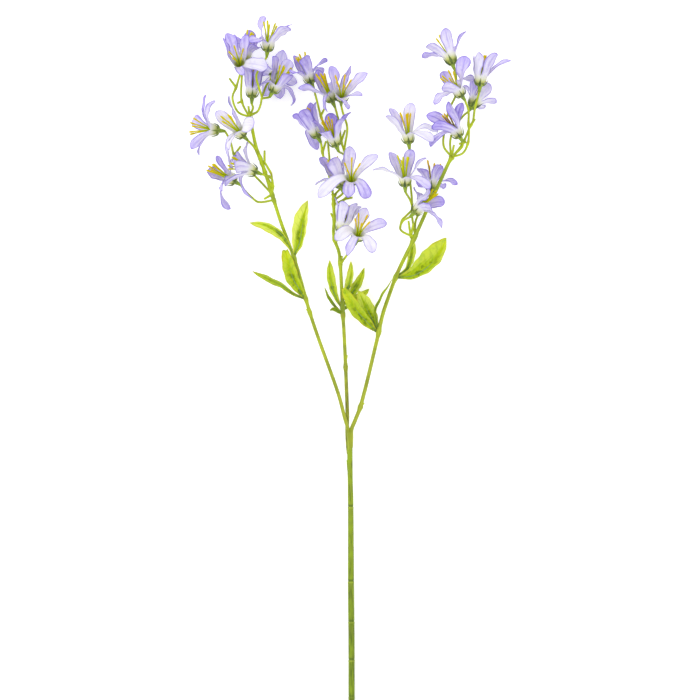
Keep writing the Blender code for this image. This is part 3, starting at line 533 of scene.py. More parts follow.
def newMaterial(name, roughness, sheen=0.0, glow=0.0, gloss=0.5):
    material = bpy.data.materials.new(name)
    material.use_nodes = True
    shader = material.node_tree.nodes["Principled BSDF"]
    finish = {"Roughness": roughness, "Sheen Weight": sheen, "Specular IOR Level": gloss,
              "Subsurface Weight": glow, "Subsurface Radius": (1.0, 0.9, 1.0),
              "Subsurface Scale": 1.2 * mm}
    for label, value in finish.items():
        shader.inputs[label].default_value = value
    return material, material.node_tree, shader


def dress(tree, shader, colour, *reliefs):   # a relief is a height, its depth in millimetres, its strength
    tree.links.new(colour, shader.inputs["Base Color"])
    normal = None
    for height, depth, strength in reliefs:
        bump = addNode(tree, "Bump", {"Height": height, "Distance": depth * mm, "Strength": strength})
        if normal:
            tree.links.new(normal, bump.inputs["Normal"])
        normal = bump.outputs["Normal"]
    tree.links.new(normal, shader.inputs["Normal"])


print("tables, groups and helpers ready")

# Corollas: a soft five-sided cup that opens into five cloth petals
corolla = {
    "floorRadius": 2.9, "floorHeight": 1.05, "rimRadius": 6.2, "rimHeight": 8.4, "cupRound": 0.42,
    "pinch": 0.06, "petalWidth": 12.4, "thickness": 0.42, "footShare": 0.58, "fullness": 1.4,
    "shoulder": 0.7, "rowPower": 2.4,
    "wallShare": 0.6, "pull": 0.36,   # how far a petal goes on in line with the cup's wall, and how gently
    "dish": 1.1, "crease": 0.45, "creaseWidth": 0.17, "freed": (0.1, 0.5), "edgeRuffle": 2.2,
    "cupShare": 0.2, "cupRows": 7, "columns": 12, "rows": 22, "blend": 0.22,
    "usualPetal": (1.0, 0.0, 28.0),   # width, then twist and curl in degrees
    "ranges": {"seed": (0, 9), "phase": (0, math.tau), "waves": (1.1, 2.2), "ruffle": (0.4, 1.1),
               "point": (0.08, 0.4)},
    "roughness": 0.8, "sheen": 0.08, "glow": 0.35, "gloss": 0.25, "threads": 34.0,
    "pleats": (1.2, 0.7), "weave": (0.12, 0.35),   # a relief's depth in millimetres and its strength
    "base": tint(176, 190, 92), "throat": tint(212, 217, 128), "cream": tint(230, 231, 206),
    # These darker base, throat and cream colours are painted shade on the cups of deep-toned blooms.
    "dullBase": tint(132, 142, 62), "dullThroat": tint(184, 190, 122), "dullCream": tint(208, 206, 200),
    "white": tint(236, 234, 244), "paleTip": tint(218, 213, 242),
    "lavender": tint(197, 185, 239), "deepTip": tint(156, 137, 226),
    "edgeInk": coat(118, 99, 202), "vein": tint(130, 109, 208),
    "veinShares": (1.0, 0.55, 0.6, 0.7),   # on the veins, midrib and patches, and toward the edge
    "usualTone": (0.3, 0.8),
}
# A petal's tone also sets how much painted shade its cup's base takes.
petalTones = {   # how much ink the odd petals took, from 0 to 1, by their place in the table
    ("left", 2): (0.15, 0.6, 0.7, 0.8, 0.5), ("left", 8): (0.1, 0.5, 0.1, 0.05, 0.3),
    ("middle", 6): (0.35, 0.15, 0.7, 0.5, 0.1), ("middle", 8): (0.4, 0.1, 0.2, 0.0, 0.3),
    ("middle", 9): (0.3, 0.3, 0.2, 0.3, 0.5), ("right", 6): (0.1, 0.35, 0.2, 0.05, 0.05),
    ("right", 3): (0.2, 0.5, 0.6, 0.4, 0.3), ("middle", 1): (0.9, 1.0, 0.9, 0.9, 0.8),
    ("middle", 4): (1.0, 0.9, 1.0, 0.8, 0.9), ("middle", 5): (0.8, 1.0, 0.9, 0.7, 0.8),
    ("right", 5): (0.9, 0.8, 0.7, 0.7, 1.0), ("left", 3): (0.9, 0.8, 1.0, 0.7, 0.8),
    ("left", 5): (0.9, 0.9, 0.8, 1.0, 0.7), ("left", 4): (0.3, 0.7, 0.9, 0.7, 0.7),
    ("right", 7): (0.5, 0.5, 0.1, 0.4, 0.4), ("right", 8): (0.9, 0.8, 0.9, 1.0, 0.9),
}


def petalAngles(petals):   # five even angles round the cup, each with the petal nearest to it
    def turnOf(petal):
        return math.atan2(petal["tip"].y, petal["tip"].x)

    ordered = sorted(petals, key=turnOf)
    step = math.tau / 5
    start = sum(turnOf(petal) - step * k for k, petal in enumerate(ordered)) / 5
    for k, petal in enumerate(ordered):
        petal["angle"] = start + step * k
    return ordered


def readPetals(flower, tones):
    turn = facingTurn(flower).inverted()
    petals = []
    for row, tone in zip(flower["petals"], tones):
        width, twist, curl = row[3:] + corolla["usualPetal"][len(row) - 3:]
        petal = {"tip": turn @ Vector(row[:3]), "twist": math.radians(twist), "curl": math.radians(curl),
                 "width": width, "tone": tone}
        for trait, ends in corolla["ranges"].items():
            petal[trait] = chance.uniform(*ends)
        petals.append(petal)
    return petalAngles(petals)


def petalFrames(petal, count=40):   # places along the midline, each with its directions
    out = around(petal["angle"])
    start = out * corolla["rimRadius"] + Vector((0, 0, corolla["rimHeight"]))
    tip = petal["tip"]
    span = tip - start
    chord = span.normalized()
    wall = (start - out * corolla["floorRadius"]).normalized()
    leave = (wall * corolla["wallShare"] + chord * (1 - corolla["wallShare"])).normalized()
    down = chord * chord.z - Vector((0, 0, 1))
    down = down.normalized() if down.length > 0.1 else out
    arrive = (chord * math.cos(petal["curl"]) + down * math.sin(petal["curl"])).normalized()
    pull = span.length * corolla["pull"]
    side = Vector((-math.sin(petal["angle"]), math.cos(petal["angle"]), 0))
    line = [bezier(start, start + leave * pull, tip - arrive * pull, tip, i / count)
            for i in range(count + 1)]
    frames = []
    for i, middle in enumerate(line):
        along = heading(line, i)
        side = squareTo(along, side)
        frames.append((middle, along, side))
    return frames


def petalPlace(petal, share, turn):   # turn goes across, -90 to 90 degrees
    across, level = math.sin(turn), math.cos(turn)
    tipForm = level * (1 - petal["point"]) + (1 - abs(across)) * petal["point"]
    reach = share - (1 - tipForm) * (1 - corolla["shoulder"]) * share ** corolla["rowPower"]
    position = reach * (len(petal["frames"]) - 1)
    k = min(int(position), len(petal["frames"]) - 2)
    before, after = petal["frames"][k:k + 2]
    middle, along, side = (a.lerp(b, position - k) for a, b in zip(before, after))
    bend = petal["twist"] * reach
    edge = side * math.cos(bend) + along.cross(side) * math.sin(bend)
    lift = along.cross(edge)
    foot = corolla["footShare"]
    opening = math.sin(math.pi / 2 * min(1.0, reach / corolla["shoulder"])) ** corolla["fullness"]
    fullness = foot + (1 - foot) * opening
    half = corolla["petalWidth"] * petal["width"] / 2 * fullness
    wave = math.sin(math.tau * petal["waves"] * reach + petal["phase"] * (1 if across > 0 else 1.7))
    freed = ease(reach, *corolla["freed"])
    rise = (corolla["dish"] * fullness * across ** 2
            + petal["ruffle"] * wave * abs(across) ** corolla["edgeRuffle"] * freed
            - corolla["crease"] * hump(across, corolla["creaseWidth"]) * freed * level)
    return middle + edge * half * across + lift * rise, reach, half


def cupPlace(angle, across, share):   # share goes up the cup's wall; the cup is pinched between petals
    radius = mix(corolla["floorRadius"], corolla["rimRadius"], share ** corolla["cupRound"])
    radius *= 1 - corolla["pinch"] * abs(across) ** 3 * share
    height = mix(corolla["floorHeight"], corolla["rimHeight"], share)
    return around(angle + across * math.pi / 5, radius, height)


def makeCorolla(name, node, flower, tones, materials):
    skin = Skin()
    turn, base = facingTurn(flower), Vector(flower["base"])
    petals = readPetals(flower, tones)
    columns, cupRows, cupShare = corolla["columns"], corolla["cupRows"], corolla["cupShare"]
    turns = [math.pi * (k / columns - 0.5) for k in range(columns + 1)]

    def corner(place, k, v, petal, **gaps):
        vertex = skin.point(base + turn @ place, tone=petal["tone"], seed=petal["seed"], **gaps)
        return vertex, (math.sin(turns[k]) + 1) / 2, v

    rings = []
    for row in range(cupRows):
        share = row / (cupRows - 1)
        ring = [corner(cupPlace(petal["angle"], math.sin(turns[k]), share), k, cupShare * share, petal)
                for petal in petals for k in range(columns)]
        rings.append(ring + ring[:1])
    middle = corner(Vector((0, 0, corolla["floorHeight"])), columns // 2, 0.0, petals[0])
    for p, petal in enumerate(petals):
        first = p * columns
        rows = [[middle] * (columns + 1)]
        for ring in rings:
            last = (ring[first + columns][0], 1.0, ring[first][2])
            rows.append(ring[first:first + columns] + [last])
        petal["frames"] = petalFrames(petal)
        length = lengthOf([place for place, along, side in petal["frames"]])
        rim = [cupPlace(petal["angle"], math.sin(t), 1.0) - petalPlace(petal, 0.0, t)[0] for t in turns]
        for row in range(1, corolla["rows"] + 1):
            share = row / corolla["rows"]
            share *= 1.35 - 0.35 * share   # rows draw closer toward the tip
            corners = []
            for k, t in enumerate(turns):
                place, reach, half = petalPlace(petal, share, t)
                place += rim[k] * (1 - ease(share, 0.0, corolla["blend"]))
                across = abs(math.sin(t)) * half
                corners.append(corner(place, k, cupShare + (1 - cupShare) * reach, petal, ribGap=across,
                                      edgeGap=min(half - across, (1 - share) * length)))
            rows.append(corners)
        skin.strips(rows)
    piece = skin.piece(name, materials, [node], "petal_lavender", closed=False)
    thicken(piece, corolla["thickness"], -1.0, outside=1)


def makePetalMaterial(name, inkShare, greenShare):   # how much ink it takes, how far the green reaches
    material, tree, shader = newMaterial(name, corolla["roughness"], corolla["sheen"], corolla["glow"],
                                         corolla["gloss"])
    u, v = uvParts(tree)
    tone = maths(tree, "MULTIPLY", attribute(tree, "tone"), inkShare)
    ink = placeInk(tree, u, v)
    streaked = times(tree, between(tree, v, 0.05, 0.4, 0.12, 0.36), ink["Streaks"])
    shifted = maths(tree, "SUBTRACT", maths(tree, "ADD", v, streaked),
                    between(tree, v, 0.05, 0.4, 0.06, 0.18))
    pale = ramp(tree, shifted, (0.0, corolla["base"]), (0.08 * greenShare, corolla["throat"]),
                (0.18 * greenShare, corolla["cream"]), (0.34 * greenShare, corolla["white"]),
                (0.75, corolla["white"]), (1.0, corolla["paleTip"]))
    # The deep ramp starts in painted shade at the cup's base and ends in the real ink of deep-toned petals.
    deep = ramp(tree, shifted, (0.0, corolla["dullBase"]), (0.08 * greenShare, corolla["dullThroat"]),
                (0.16 * greenShare, corolla["dullCream"]), (0.3 * greenShare, corolla["paleTip"]),
                (0.55, corolla["lavender"]), (1.0, corolla["deepTip"]))
    opened = times(tree, between(tree, v, 0.2, 0.42), between(tree, v, 1.05, 0.8))
    inked = maths(tree, "MULTIPLY_ADD", tone, 0.75, 0.1)
    veins = times(tree, between(tree, ink["Streaks"], 0.5, 0.68), opened, inked)
    midrib = times(tree, between(tree, attribute(tree, "ribGap"), 1.6, 0.2), opened, inked)
    patches = times(tree, between(tree, ink["Patches"], 0.52, 0.68), opened, inked)
    edge = attribute(tree, "edgeGap")
    soft = times(tree, between(tree, uneven(tree, edge, ink["Patches"], 2.4), 2.2, 0.4), inked)
    line = times(tree, between(tree, uneven(tree, edge, ink["Streaks"], 0.8), 0.85, 0.4),
                 between(tree, v, 0.24, 0.5, 0.15, 1.0), maths(tree, "MULTIPLY_ADD", tone, 0.35, 0.6))
    shares = zip((veins, midrib, patches, soft), corolla["veinShares"])
    inks = [(mask, (corolla["vein"], share)) for mask, share in shares]
    colour = paint(tree, pale, (tone, (deep, 1.0)), *inks, (line, corolla["edgeInk"]))
    cloth = placeGroup(tree, wovenCloth, Across=u, Along=v, Threads=corolla["threads"])
    dress(tree, shader, colour, (ink["Pleats"], *corolla["pleats"]), (cloth["Height"], *corolla["weave"]))
    return material


petalMaterials = [makePetalMaterial("petalInside", 1.0, 0.55), makePetalMaterial("petalOutside", 0.85, 0.88)]
for side, flowers in blooms.items():
    for number, flower in enumerate(flowers, 1):
        usual = [chance.uniform(*corolla["usualTone"]) for _ in range(5)]
        tones = petalTones.get((side, number), usual)
        makeCorolla(f"{side}Corolla{number}", f"petals_{side}_{number}", flower, tones, petalMaterials)
print("corollas made")

# Stamens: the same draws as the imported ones, so that each filament lies where its solid does
stamens = {
    "seed": 7, "count": 5, "length": 28.0, "lengthRange": (0.9, 1.04), "spread": 16.0,
    "spreadRange": (0.75, 1.25), "room": 0.45, "sway": 0.12,
    "bends": ((0.6, 0.4), (1.25, 0.6)),   # how far each stretch leans out, and its share of the length
    "radius": 0.7, "tipRadius": 0.98, "sides": 7, "step": 1.3,
    "discRadius": 1.8, "discFoot": 1.35, "discTop": 2.5, "discEdge": 0.5, "discSides": 10,
    "roughness": 0.45, "gloss": 0.08, "skin": (0.1, 0.3),
    "foot": tint(136, 164, 14), "low": tint(174, 196, 6), "stalk": tint(194, 204, 0),
    "gold": tint(202, 206, 0), "tip": tint(208, 204, 0), "amber": coat(230, 184, 0, 0.8),
    "shadow": coat(144, 138, 10, 0.28), "brown": coat(128, 84, 26, 0.7),
}
amberTones = {   # how amber each bloom's filaments are, in the order of the tables
    "left": (0.1, 0.4, 0.3, 0.2, 0.3, 0.2, 0.5, 0.35, 0.1, 0.5),
    "middle": (0.5, 0.7, 0.85, 1.0, 0.85, 0.7, 0.4, 0.85, 0.3),
    "right": (0.4, 0.6, 0.6, 1.0, 1.0, 0.8, 0.0, 1.0, 0.3),
}
stamenChance = random.Random(stamens["seed"])


def discRadius(done, share):
    return stamens["discRadius"] * (1 - 0.5 * share ** 2)


def filamentRadius(done, share):   # a little thicker near its end, which is rounded
    swell = (stamens["tipRadius"] - stamens["radius"]) * ease(share, 0.78, 0.88)
    return stamens["radius"] + swell - 0.5 * stamens["tipRadius"] * ease(share, 0.95, 1.0)


def makeStamens(name, node, flower, tone, material):
    skin = Skin()
    turn, base = facingTurn(flower), Vector(flower["base"])
    axis = Vector((0, 0, 1))
    room = min(axis.angle(turn.inverted() @ Vector(row[:3])) for row in flower["petals"])
    start = stamenChance.uniform(0, math.tau)
    heights = (stamens["discFoot"], stamens["discTop"] - stamens["discEdge"], stamens["discTop"])
    skin.rod([base + turn @ (axis * height) for height in heights], discRadius, stamens["discSides"],
             span=(0, 0.05))
    for k in range(stamens["count"]):
        corners = [start + math.tau * i / stamens["count"] for i in (k, k + 1)]
        centre = sum((around(corner) * stamens["discRadius"] for corner in corners), Vector()) / 3
        centre.z = stamens["discTop"]
        out = around(corners[0] + math.pi / 5 + stamenChance.uniform(-stamens["sway"], stamens["sway"]))
        spread = math.radians(stamens["spread"]) * stamenChance.uniform(*stamens["spreadRange"])
        spread = min(spread, room * stamens["room"])
        length = stamens["length"] * stamenChance.uniform(*stamens["lengthRange"])
        places = [centre - axis]
        end = centre
        for lean, share in stamens["bends"]:
            end = end + (out * math.sin(spread * lean) + axis * math.cos(spread * lean)) * length * share
            places.append(end)
        path = smoothPath([base + turn @ place for place in places], stamens["step"])
        skin.rod(path, filamentRadius, stamens["sides"], tone=tone, seed=k / 5)
    skin.piece(name, [material], [node], "stamen_yellow")


def makeStamenMaterial():
    material, tree, shader = newMaterial("stamenPlastic", stamens["roughness"], gloss=stamens["gloss"])
    u, v = uvParts(tree)
    moulded = placeMoulded(tree, u)
    tone = attribute(tree, "tone")
    colour = ramp(tree, v, (0.0, stamens["foot"]), (0.3, stamens["low"]), (0.6, stamens["stalk"]),
                  (0.78, stamens["gold"]), (0.9, stamens["tip"]))
    amber = times(tree, tone, between(tree, v, 0.3, 0.8))
    brown = times(tree, between(tree, tone, 0.86, 1.0), between(tree, v, 0.25, 0.5),
                  between(tree, v, 0.9, 0.75))
    colour = paint(tree, colour, (amber, stamens["amber"]), (brown, stamens["brown"]),
                   (moulded["Dirt"], stamens["shadow"]))
    dress(tree, shader, colour, (moulded["Height"], *stamens["skin"]))
    return material


stamenMaterial = makeStamenMaterial()
for side, flowers in blooms.items():
    for number, (flower, tone) in enumerate(zip(flowers, amberTones[side]), 1):
        makeStamens(f"{side}Stamens{number}", f"stamens_{side}_{number}", flower, tone, stamenMaterial)
print("stamens made")

# Calyxes: a fluted socket, a lobed bowl and five curved sepals under each bloom
calyx = {
    "socketLength": 7.5, "socketRadius": 2.35, "footRadius": 1.45, "socketTop": 0.35, "sides": 15,
    "sepals": 5, "sepalPath": ((1.2, -1.8), (3.0, -1.4), (4.9, 0.0), (6.1, 2.4), (6.7, 5.0), (7.1, 7.8)),
    "sepalWidth": 2.7, "sepalFlat": 0.45, "foot": 0.6, "fullAt": 0.4, "sepalSides": 8, "step": 0.9,
    "sepalAt": 0.25,   # of the way from one sepal's share of the ring to the next
    "ranges": ((-0.1, 0.1), (0.85, 1.1), (-0.15, 0.15), (0.0, 1.5)),   # a sepal's turn, reach, lean and flare
    "bowl": ((2.3, -1.7), (3.3, -1.2), (4.1, -0.2), (4.5, 1.1)), "bowlThickness": 0.5, "lobes": 0.8,
    "bowlSides": 40, "roughness": 0.5, "skin": (0.15, 0.4),
    # The neck colour is painted shade at the top of the socket, under the bowl.
    "socket": tint(146, 174, 34), "neckShade": tint(100, 130, 32), "bowlInk": tint(160, 180, 70),
    "patch": coat(58, 78, 24, 0.5), "sepal": tint(62, 86, 34), "sepalTip": tint(96, 114, 48),
    "olive": coat(124, 146, 42),
}


def socketRadius(done, share):
    return mix(calyx["footRadius"], calyx["socketRadius"], ease(share, 0.0, 0.75))


def sepalRadius(done, share):
    rising = calyx["foot"] + (1 - calyx["foot"]) * ease(share, 0.0, calyx["fullAt"])
    return calyx["sepalWidth"] / 2 * rising * (1 - 0.9 * ease(share, calyx["fullAt"], 1.0))


def addCalyx(skin, flower):
    turn, base = facingTurn(flower), Vector(flower["base"])
    seed = chance.random()

    def at(angle, radius, height):
        return base + turn @ around(angle, radius, height)

    heights = [calyx["socketLength"] * (k / 7 - 1) for k in range(8)] + [calyx["socketTop"]]
    skin.rod([at(0, 0, height) for height in heights], socketRadius, calyx["sides"], seed=seed,
             span=(0.0, 0.44))
    outer = [(radius, height, 0.5 + 0.03 * k) for k, (radius, height) in enumerate(calyx["bowl"])]
    inner = [(radius - calyx["bowlThickness"], height, v) for radius, height, v in outer[:0:-1]]
    rings = []
    for radius, height, v in outer + inner:
        ring = []
        for i in range(calyx["bowlSides"]):
            turned = math.tau * i / calyx["bowlSides"]
            lobe = math.cos(calyx["sepals"] * turned - math.tau / 4)
            raised = calyx["lobes"] * lobe * ease(height, -1.5, 0.7)
            vertex = skin.point(at(turned, radius, height + raised), seed=seed)
            ring.append((vertex, i / calyx["bowlSides"], v))
        rings.append(ring)
    skin.tube(rings)
    for k in range(calyx["sepals"]):
        turned, reach, lean, flare = (chance.uniform(*ends) for ends in calyx["ranges"])
        angle = math.tau * (k + calyx["sepalAt"]) / calyx["sepals"] + turned
        points = []
        for radius, height in calyx["sepalPath"]:
            rise = max(0.0, height) / calyx["sepalPath"][-1][1]
            height *= reach if height > 0 else 1
            points.append(at(angle + lean * rise, radius + flare ** 2 * rise ** 2, height))
        skin.rod(smoothPath(points, calyx["step"]), sepalRadius, calyx["sepalSides"], flat=calyx["sepalFlat"],
                 up=turn @ around(angle), seed=seed, tone=chance.random(), span=(0.64, 1.0))


def makeCalyxMaterial():   # v is 0 to 0.44 on the socket, 0.5 to 0.6 on the bowl and 0.64 to 1 on a sepal
    material, tree, shader = newMaterial("calyxPlastic", calyx["roughness"])
    u, v = uvParts(tree)
    moulded = placeMoulded(tree, u)
    # the socket darkens toward the bowl with painted shade
    colour = ramp(tree, v, (0.0, calyx["socket"]), (0.28, calyx["socket"]), (0.44, calyx["neckShade"]),
                  (0.5, calyx["bowlInk"]), (0.62, calyx["bowlInk"]), (0.66, calyx["sepal"]),
                  (0.86, calyx["sepal"]), (1.0, calyx["sepalTip"]))
    bright = times(tree, between(tree, v, 0.63, 0.66), between(tree, v, 1.0, 0.85), attribute(tree, "tone"))
    colour = paint(tree, colour, (bright, calyx["olive"]), (moulded["Dirt"], calyx["patch"]))
    dress(tree, shader, colour, (moulded["Height"], *calyx["skin"]))
    return material


calyxMaterial = makeCalyxMaterial()
for side, flowers in blooms.items():
    skin = Skin()
    for flower in flowers:
        addCalyx(skin, flower)
    skin.piece(f"{side}Calyxes", [calyxMaterial], [], "stem_green")
print("calyxes made")

# Branches: a moulded stem with knots where anything leaves it, thin stalks and cut shoots
branch = {
    "radii": {"left": (1.88, 1.66), "middle": (1.98, 1.6), "right": (2.05, 1.8)}, "sides": 14, "step": 2.4,
    "stalkRadius": 1.12, "stalkSides": 10, "stalkStep": 1.6, "stalkEnd": 2,
    "shootRadius": 1.2, "shootStep": 1.2, "knot": 0.45, "endKnot": 0.9, "knotLength": 2.6, "knotGap": 4,
    "roughness": 0.42, "gloss": 0.3, "skin": (0.2, 0.4),
    "low": tint(170, 179, 46), "high": coat(183, 202, 26), "stalk": coat(190, 205, 30, 0.7),
    # The groove colour is painted shade, laid in lengthwise streaks as if in grooves.
    "dirt": coat(112, 126, 30, 0.55), "groove": coat(122, 142, 26, 0.5), "ochre": coat(176, 146, 50, 0.45),
    "aged": coat(100, 98, 38), "agedReach": (120, 30),
    "agedShare": {"left": 0.15, "middle": 1.0, "right": 0.15}, "dullInk": coat(100, 126, 40),
    # The darker stretches are painted shade along the branch.
    "dull": {   # darker stretches: how far along the spray, how long and how strong
        "left": ((441, 20, 0.4), (503, 9, 0.3)),
        "middle": ((393, 11, 0.6), (449, 12, 0.3), (478, 12, 0.25)),
        "right": ((424, 8, 0.2), (468, 14, 0.4), (514, 20, 0.5)),
    },
}
branchFeet = {   # where each branch runs down into the main stem, in place of its first point
    "left": [(-0.3, 250, 18.4), (-0.7, 261, 19.3), (-2, 270.4, 20.2)],
    "middle": [(-1.4, 246, 16.9), (-2.4, 257, 16.7), (-2.9, 270.4, 16.4)],
    "right": [(0.9, 252, 18.2), (1.3, 262, 19.0), (1.5, 270.4, 20)],
}


def knotted(radii, path, knots):   # the radius, swollen near each knot, which is a place and its strength
    places = []
    for knot, strength in knots:
        nearest = min(range(len(path)), key=lambda k: (path[k] - Vector(knot)).length)
        if (path[nearest] - Vector(knot)).length < branch["knotGap"]:
            places.append((lengthOf(path[:nearest + 1]), strength))

    def radius(done, share):
        swells = [strength * hump(done - place, branch["knotLength"]) for place, strength in places]
        return mix(*radii, share) * (1 + max(swells + [0.0]))
    return radius


def shootRadius(done, share):
    return branch["shootRadius"] * (1.1 - 0.25 * share)


def makeBranch(side, material):
    skin = Skin()
    knots = [(shape["path"][0], branch["knot"]) for shape in leaves[side]]
    knots += [(start, branch["knot"]) for start, end in shoots[side]]
    forks = [(flower["stalk"][0], branch["knot"]) for flower in blooms[side]]
    forks.append((branches[side][-1], branch["endKnot"]))
    path = smoothPath(branchFeet[side] + branches[side][1:], branch["step"])
    # places and reaches of the painted shade, as distances along the branch
    dull = [(lengthOf([point for point in path if point.y <= place]), reach, strength)
            for place, reach, strength in branch["dull"][side]]
    skin.rod(path, knotted(branch["radii"][side], path, knots + forks), branch["sides"],
             tone=0.0, seed=chance.random(),
             aged=lambda done: branch["agedShare"][side] * ease(done, *branch["agedReach"]),
             dull=lambda done: max(strength * hump(done - place, reach) for place, reach, strength in dull))
    for flower in blooms[side]:
        ahead = Vector(flower["facing"]).normalized()
        socket = Vector(flower["base"]) - ahead * calyx["socketLength"]
        top = [socket, socket + ahead * branch["stalkEnd"]]
        path = smoothPath(flower["stalk"] + top, branch["stalkStep"])
        skin.rod(path, knotted([branch["stalkRadius"]] * 2, path, knots), branch["stalkSides"],
                 tone=1.0, seed=chance.random())
    for ends in shoots[side]:
        skin.rod(smoothPath(ends, branch["shootStep"]), shootRadius, branch["stalkSides"],
                 tone=1.0, seed=chance.random())
    skin.piece(f"{side}Branch", [material], [f"branch_{side}"], "stem_green")


def makeBranchMaterial():
    material, tree, shader = newMaterial("branchPlastic", branch["roughness"], gloss=branch["gloss"])
    u, v = uvParts(tree)
    place = objectPlace(tree)
    moulded = placeMoulded(tree, u)
    rising = between(tree, addNode(tree, "SeparateXYZ", (place,)).outputs["Y"], -0.06, 0.2)
    # painted shade: lengthwise noise streaks stand in for the shade in grooves
    paintedGrooveStreaks = between(tree, longNoise(tree, u, v, 6.0, 4.0), 0.48, 0.62)
    worn = between(tree, noise(tree, place, 120.0, 4.0), 0.58, 0.72)
    aged = times(tree, attribute(tree, "aged"),
                 between(tree, longNoise(tree, u, v, 5.0, 30.0), 0.38, 0.6, 0.1, 0.9))
    # the groove streaks and the dull stretches are painted shade
    colour = paint(tree, branch["low"], (rising, branch["high"]), (attribute(tree, "tone"), branch["stalk"]),
                   (moulded["Dirt"], branch["dirt"]), (paintedGrooveStreaks, branch["groove"]),
                   (attribute(tree, "dull"), branch["dullInk"]), (worn, branch["ochre"]),
                   (aged, branch["aged"]))
    dress(tree, shader, colour, (moulded["Height"], *branch["skin"]))
    return material


branchMaterial = makeBranchMaterial()
for side in branches:
    makeBranch(side, branchMaterial)
print("branches made")

# Leaves: printed cloth with a pressed midrib and pale margins
blade = {
    "thickness": 0.4, "foot": 2.0, "dish": 0.9, "wave": 1.1, "ripple": 0.5, "rippleRate": 19,
    "ragged": 0.05, "raggedRate": 31, "lobes": 0.3, "rib": 0.45, "ribWidth": 0.12,
    "veins": 9, "veinSlant": 1.3, "veinRise": 0.14, "rows": 40, "step": 0.8,
    "columns": (-1, -0.9, -0.72, -0.5, -0.3, -0.14, -0.05, 0, 0.05, 0.14, 0.3, 0.5, 0.72, 0.9, 1),
    "roughness": 0.62, "sheen": 0.03, "glow": 0.2, "gloss": 0.15, "threads": 40.0,
    "pleats": (0.8, 0.5), "weave": (0.12, 0.3),
    "green": tint(148, 178, 0), "bright": coat(196, 211, 0), "margin": coat(217, 229, 96),
    "dark": coat(84, 118, 0), "veinInk": coat(98, 126, 30, 0.2), "ribInk": coat(120, 150, 88, 0.9),
    "ochre": coat(196, 152, 30, 0.75), "shade": coat(98, 126, 30), "footInk": coat(88, 116, 56),
}
# For each leaf: how pale its margin is, how much painted shade darkens it, where its midrib runs, and how
# blunt its end is.
leafLooks = {
    "left": [(0.75, 0.0, 0.35, 0.0), (1.0, 0.0, 0.4, 0.0), (0.35, 0.3, 0.0, 0.0), (0.25, 0.0, 0.1, 0.5)],
    "middle": [(0.45, 0.05, -0.2, 0.0), (0.0, 0.6, 0.0, 0.0), (0.6, 0.05, 0.3, 0.0), (0.4, 0.05, 0.0, 0.0),
               (0.4, 0.05, 0.0, 0.0), (0.0, 0.6, 0.0, 0.0)],
    "right": [(0.2, 0.05, 0.0, 0.3), (0.7, 0.05, 0.0, 0.0), (0.3, 0.4, 0.0, 0.0), (0.4, 0.05, 0.45, 0.0),
              (0.9, 0.0, 0.0, 0.0)],
}


def leafHalf(shape, share, blunt):   # half the width, smooth through the widths in the table
    end = shape["widths"][2] * blunt
    widths = (blade["foot"],) + shape["widths"] + (end,)
    k = min(int(share * 4), 3)
    slopes = [0.0] + [(widths[i + 1] - widths[i - 1]) / 2 for i in (1, 2, 3)] + [1.6 * (end - widths[3])]
    return 0.5 * hermite(widths[k], slopes[k], slopes[k + 1], widths[k + 1], share * 4 - k)


def leafRise(shape, t, across, share, half, wobble):   # how far the cloth stands off its midline
    rise = blade["dish"] * abs(across) ** 1.5 * ease(share, 0, 0.2) * min(1.0, half / 2)
    rise -= (across * shape["wave"] * blade["wave"] * math.cos(4 * math.pi * share)
             * ease(share, 0.05, 0.25))
    rise -= blade["rib"] * hump(t, blade["ribWidth"]) * (1 - 0.7 * share)
    rise += (blade["ripple"] * math.sin(blade["rippleRate"] * share + wobble) * across ** 2
             * ease(share, 0.1, 0.4) * min(1.0, half / 3))
    vein = math.sin(math.tau * (share * blade["veins"] - abs(t) * blade["veinSlant"]))
    return rise + blade["veinRise"] * vein * abs(t) * (1 - abs(t)) * 4 * min(1.0, half / 3)


def makeLeaf(name, shape, look, material):
    margin, leafShade, ribAt, blunt = look
    skin = Skin()
    line = smoothPath(shape["path"], blade["step"])
    last = len(line) - 1
    traits = {"tone": margin, "seed": chance.uniform(0, 9) + 10 * leafShade}
    wobble = [chance.uniform(0, math.tau) for _ in range(3)]
    rows = []
    for row in range(blade["rows"] + 1):
        share = row / blade["rows"]
        k = min(int(share * last), last - 1)
        middle = line[k].lerp(line[k + 1], share * last - k)
        along = heading(line, k, 2, 3)
        side = along.cross(Vector((0, 0, 1))).normalized()
        face = side.cross(along)
        roll = math.radians(shape["roll"]) * min(1.0, share * 3)
        edge = side * math.cos(roll) + face * math.sin(roll)
        lift = edge.cross(along)
        half = leafHalf(shape, share, blunt)
        pointed = row == blade["rows"] and not blunt
        end = skin.point(middle, edgeGap=0.0, ribGap=0.0, **traits) if pointed else None
        corners = []
        for t in blade["columns"]:
            across = t + ribAt * (1 - t * t) * ease(share, 0.0, 0.3)
            rise = leafRise(shape, t, across, share, half, wobble[0])
            ragged = 1 + blade["ragged"] * abs(t) * math.sin(blade["raggedRate"] * share
                                                             + wobble[1 if t > 0 else 2])
            place = middle + edge * half * across * ragged + lift * rise
            place += (along * blunt * half * blade["lobes"] * math.sin(5 * t + wobble[0])
                      * ease(share, 0.8, 1.0))
            vertex = end or skin.point(place, edgeGap=(1 - abs(t)) * half, ribGap=abs(t) * half, **traits)
            corners.append((vertex, (t + 1) / 2, share))
        rows.append(corners)
    skin.strips(rows)
    piece = skin.piece(name, [material], [], "stem_green", closed=False)
    thicken(piece, blade["thickness"], 0.0)


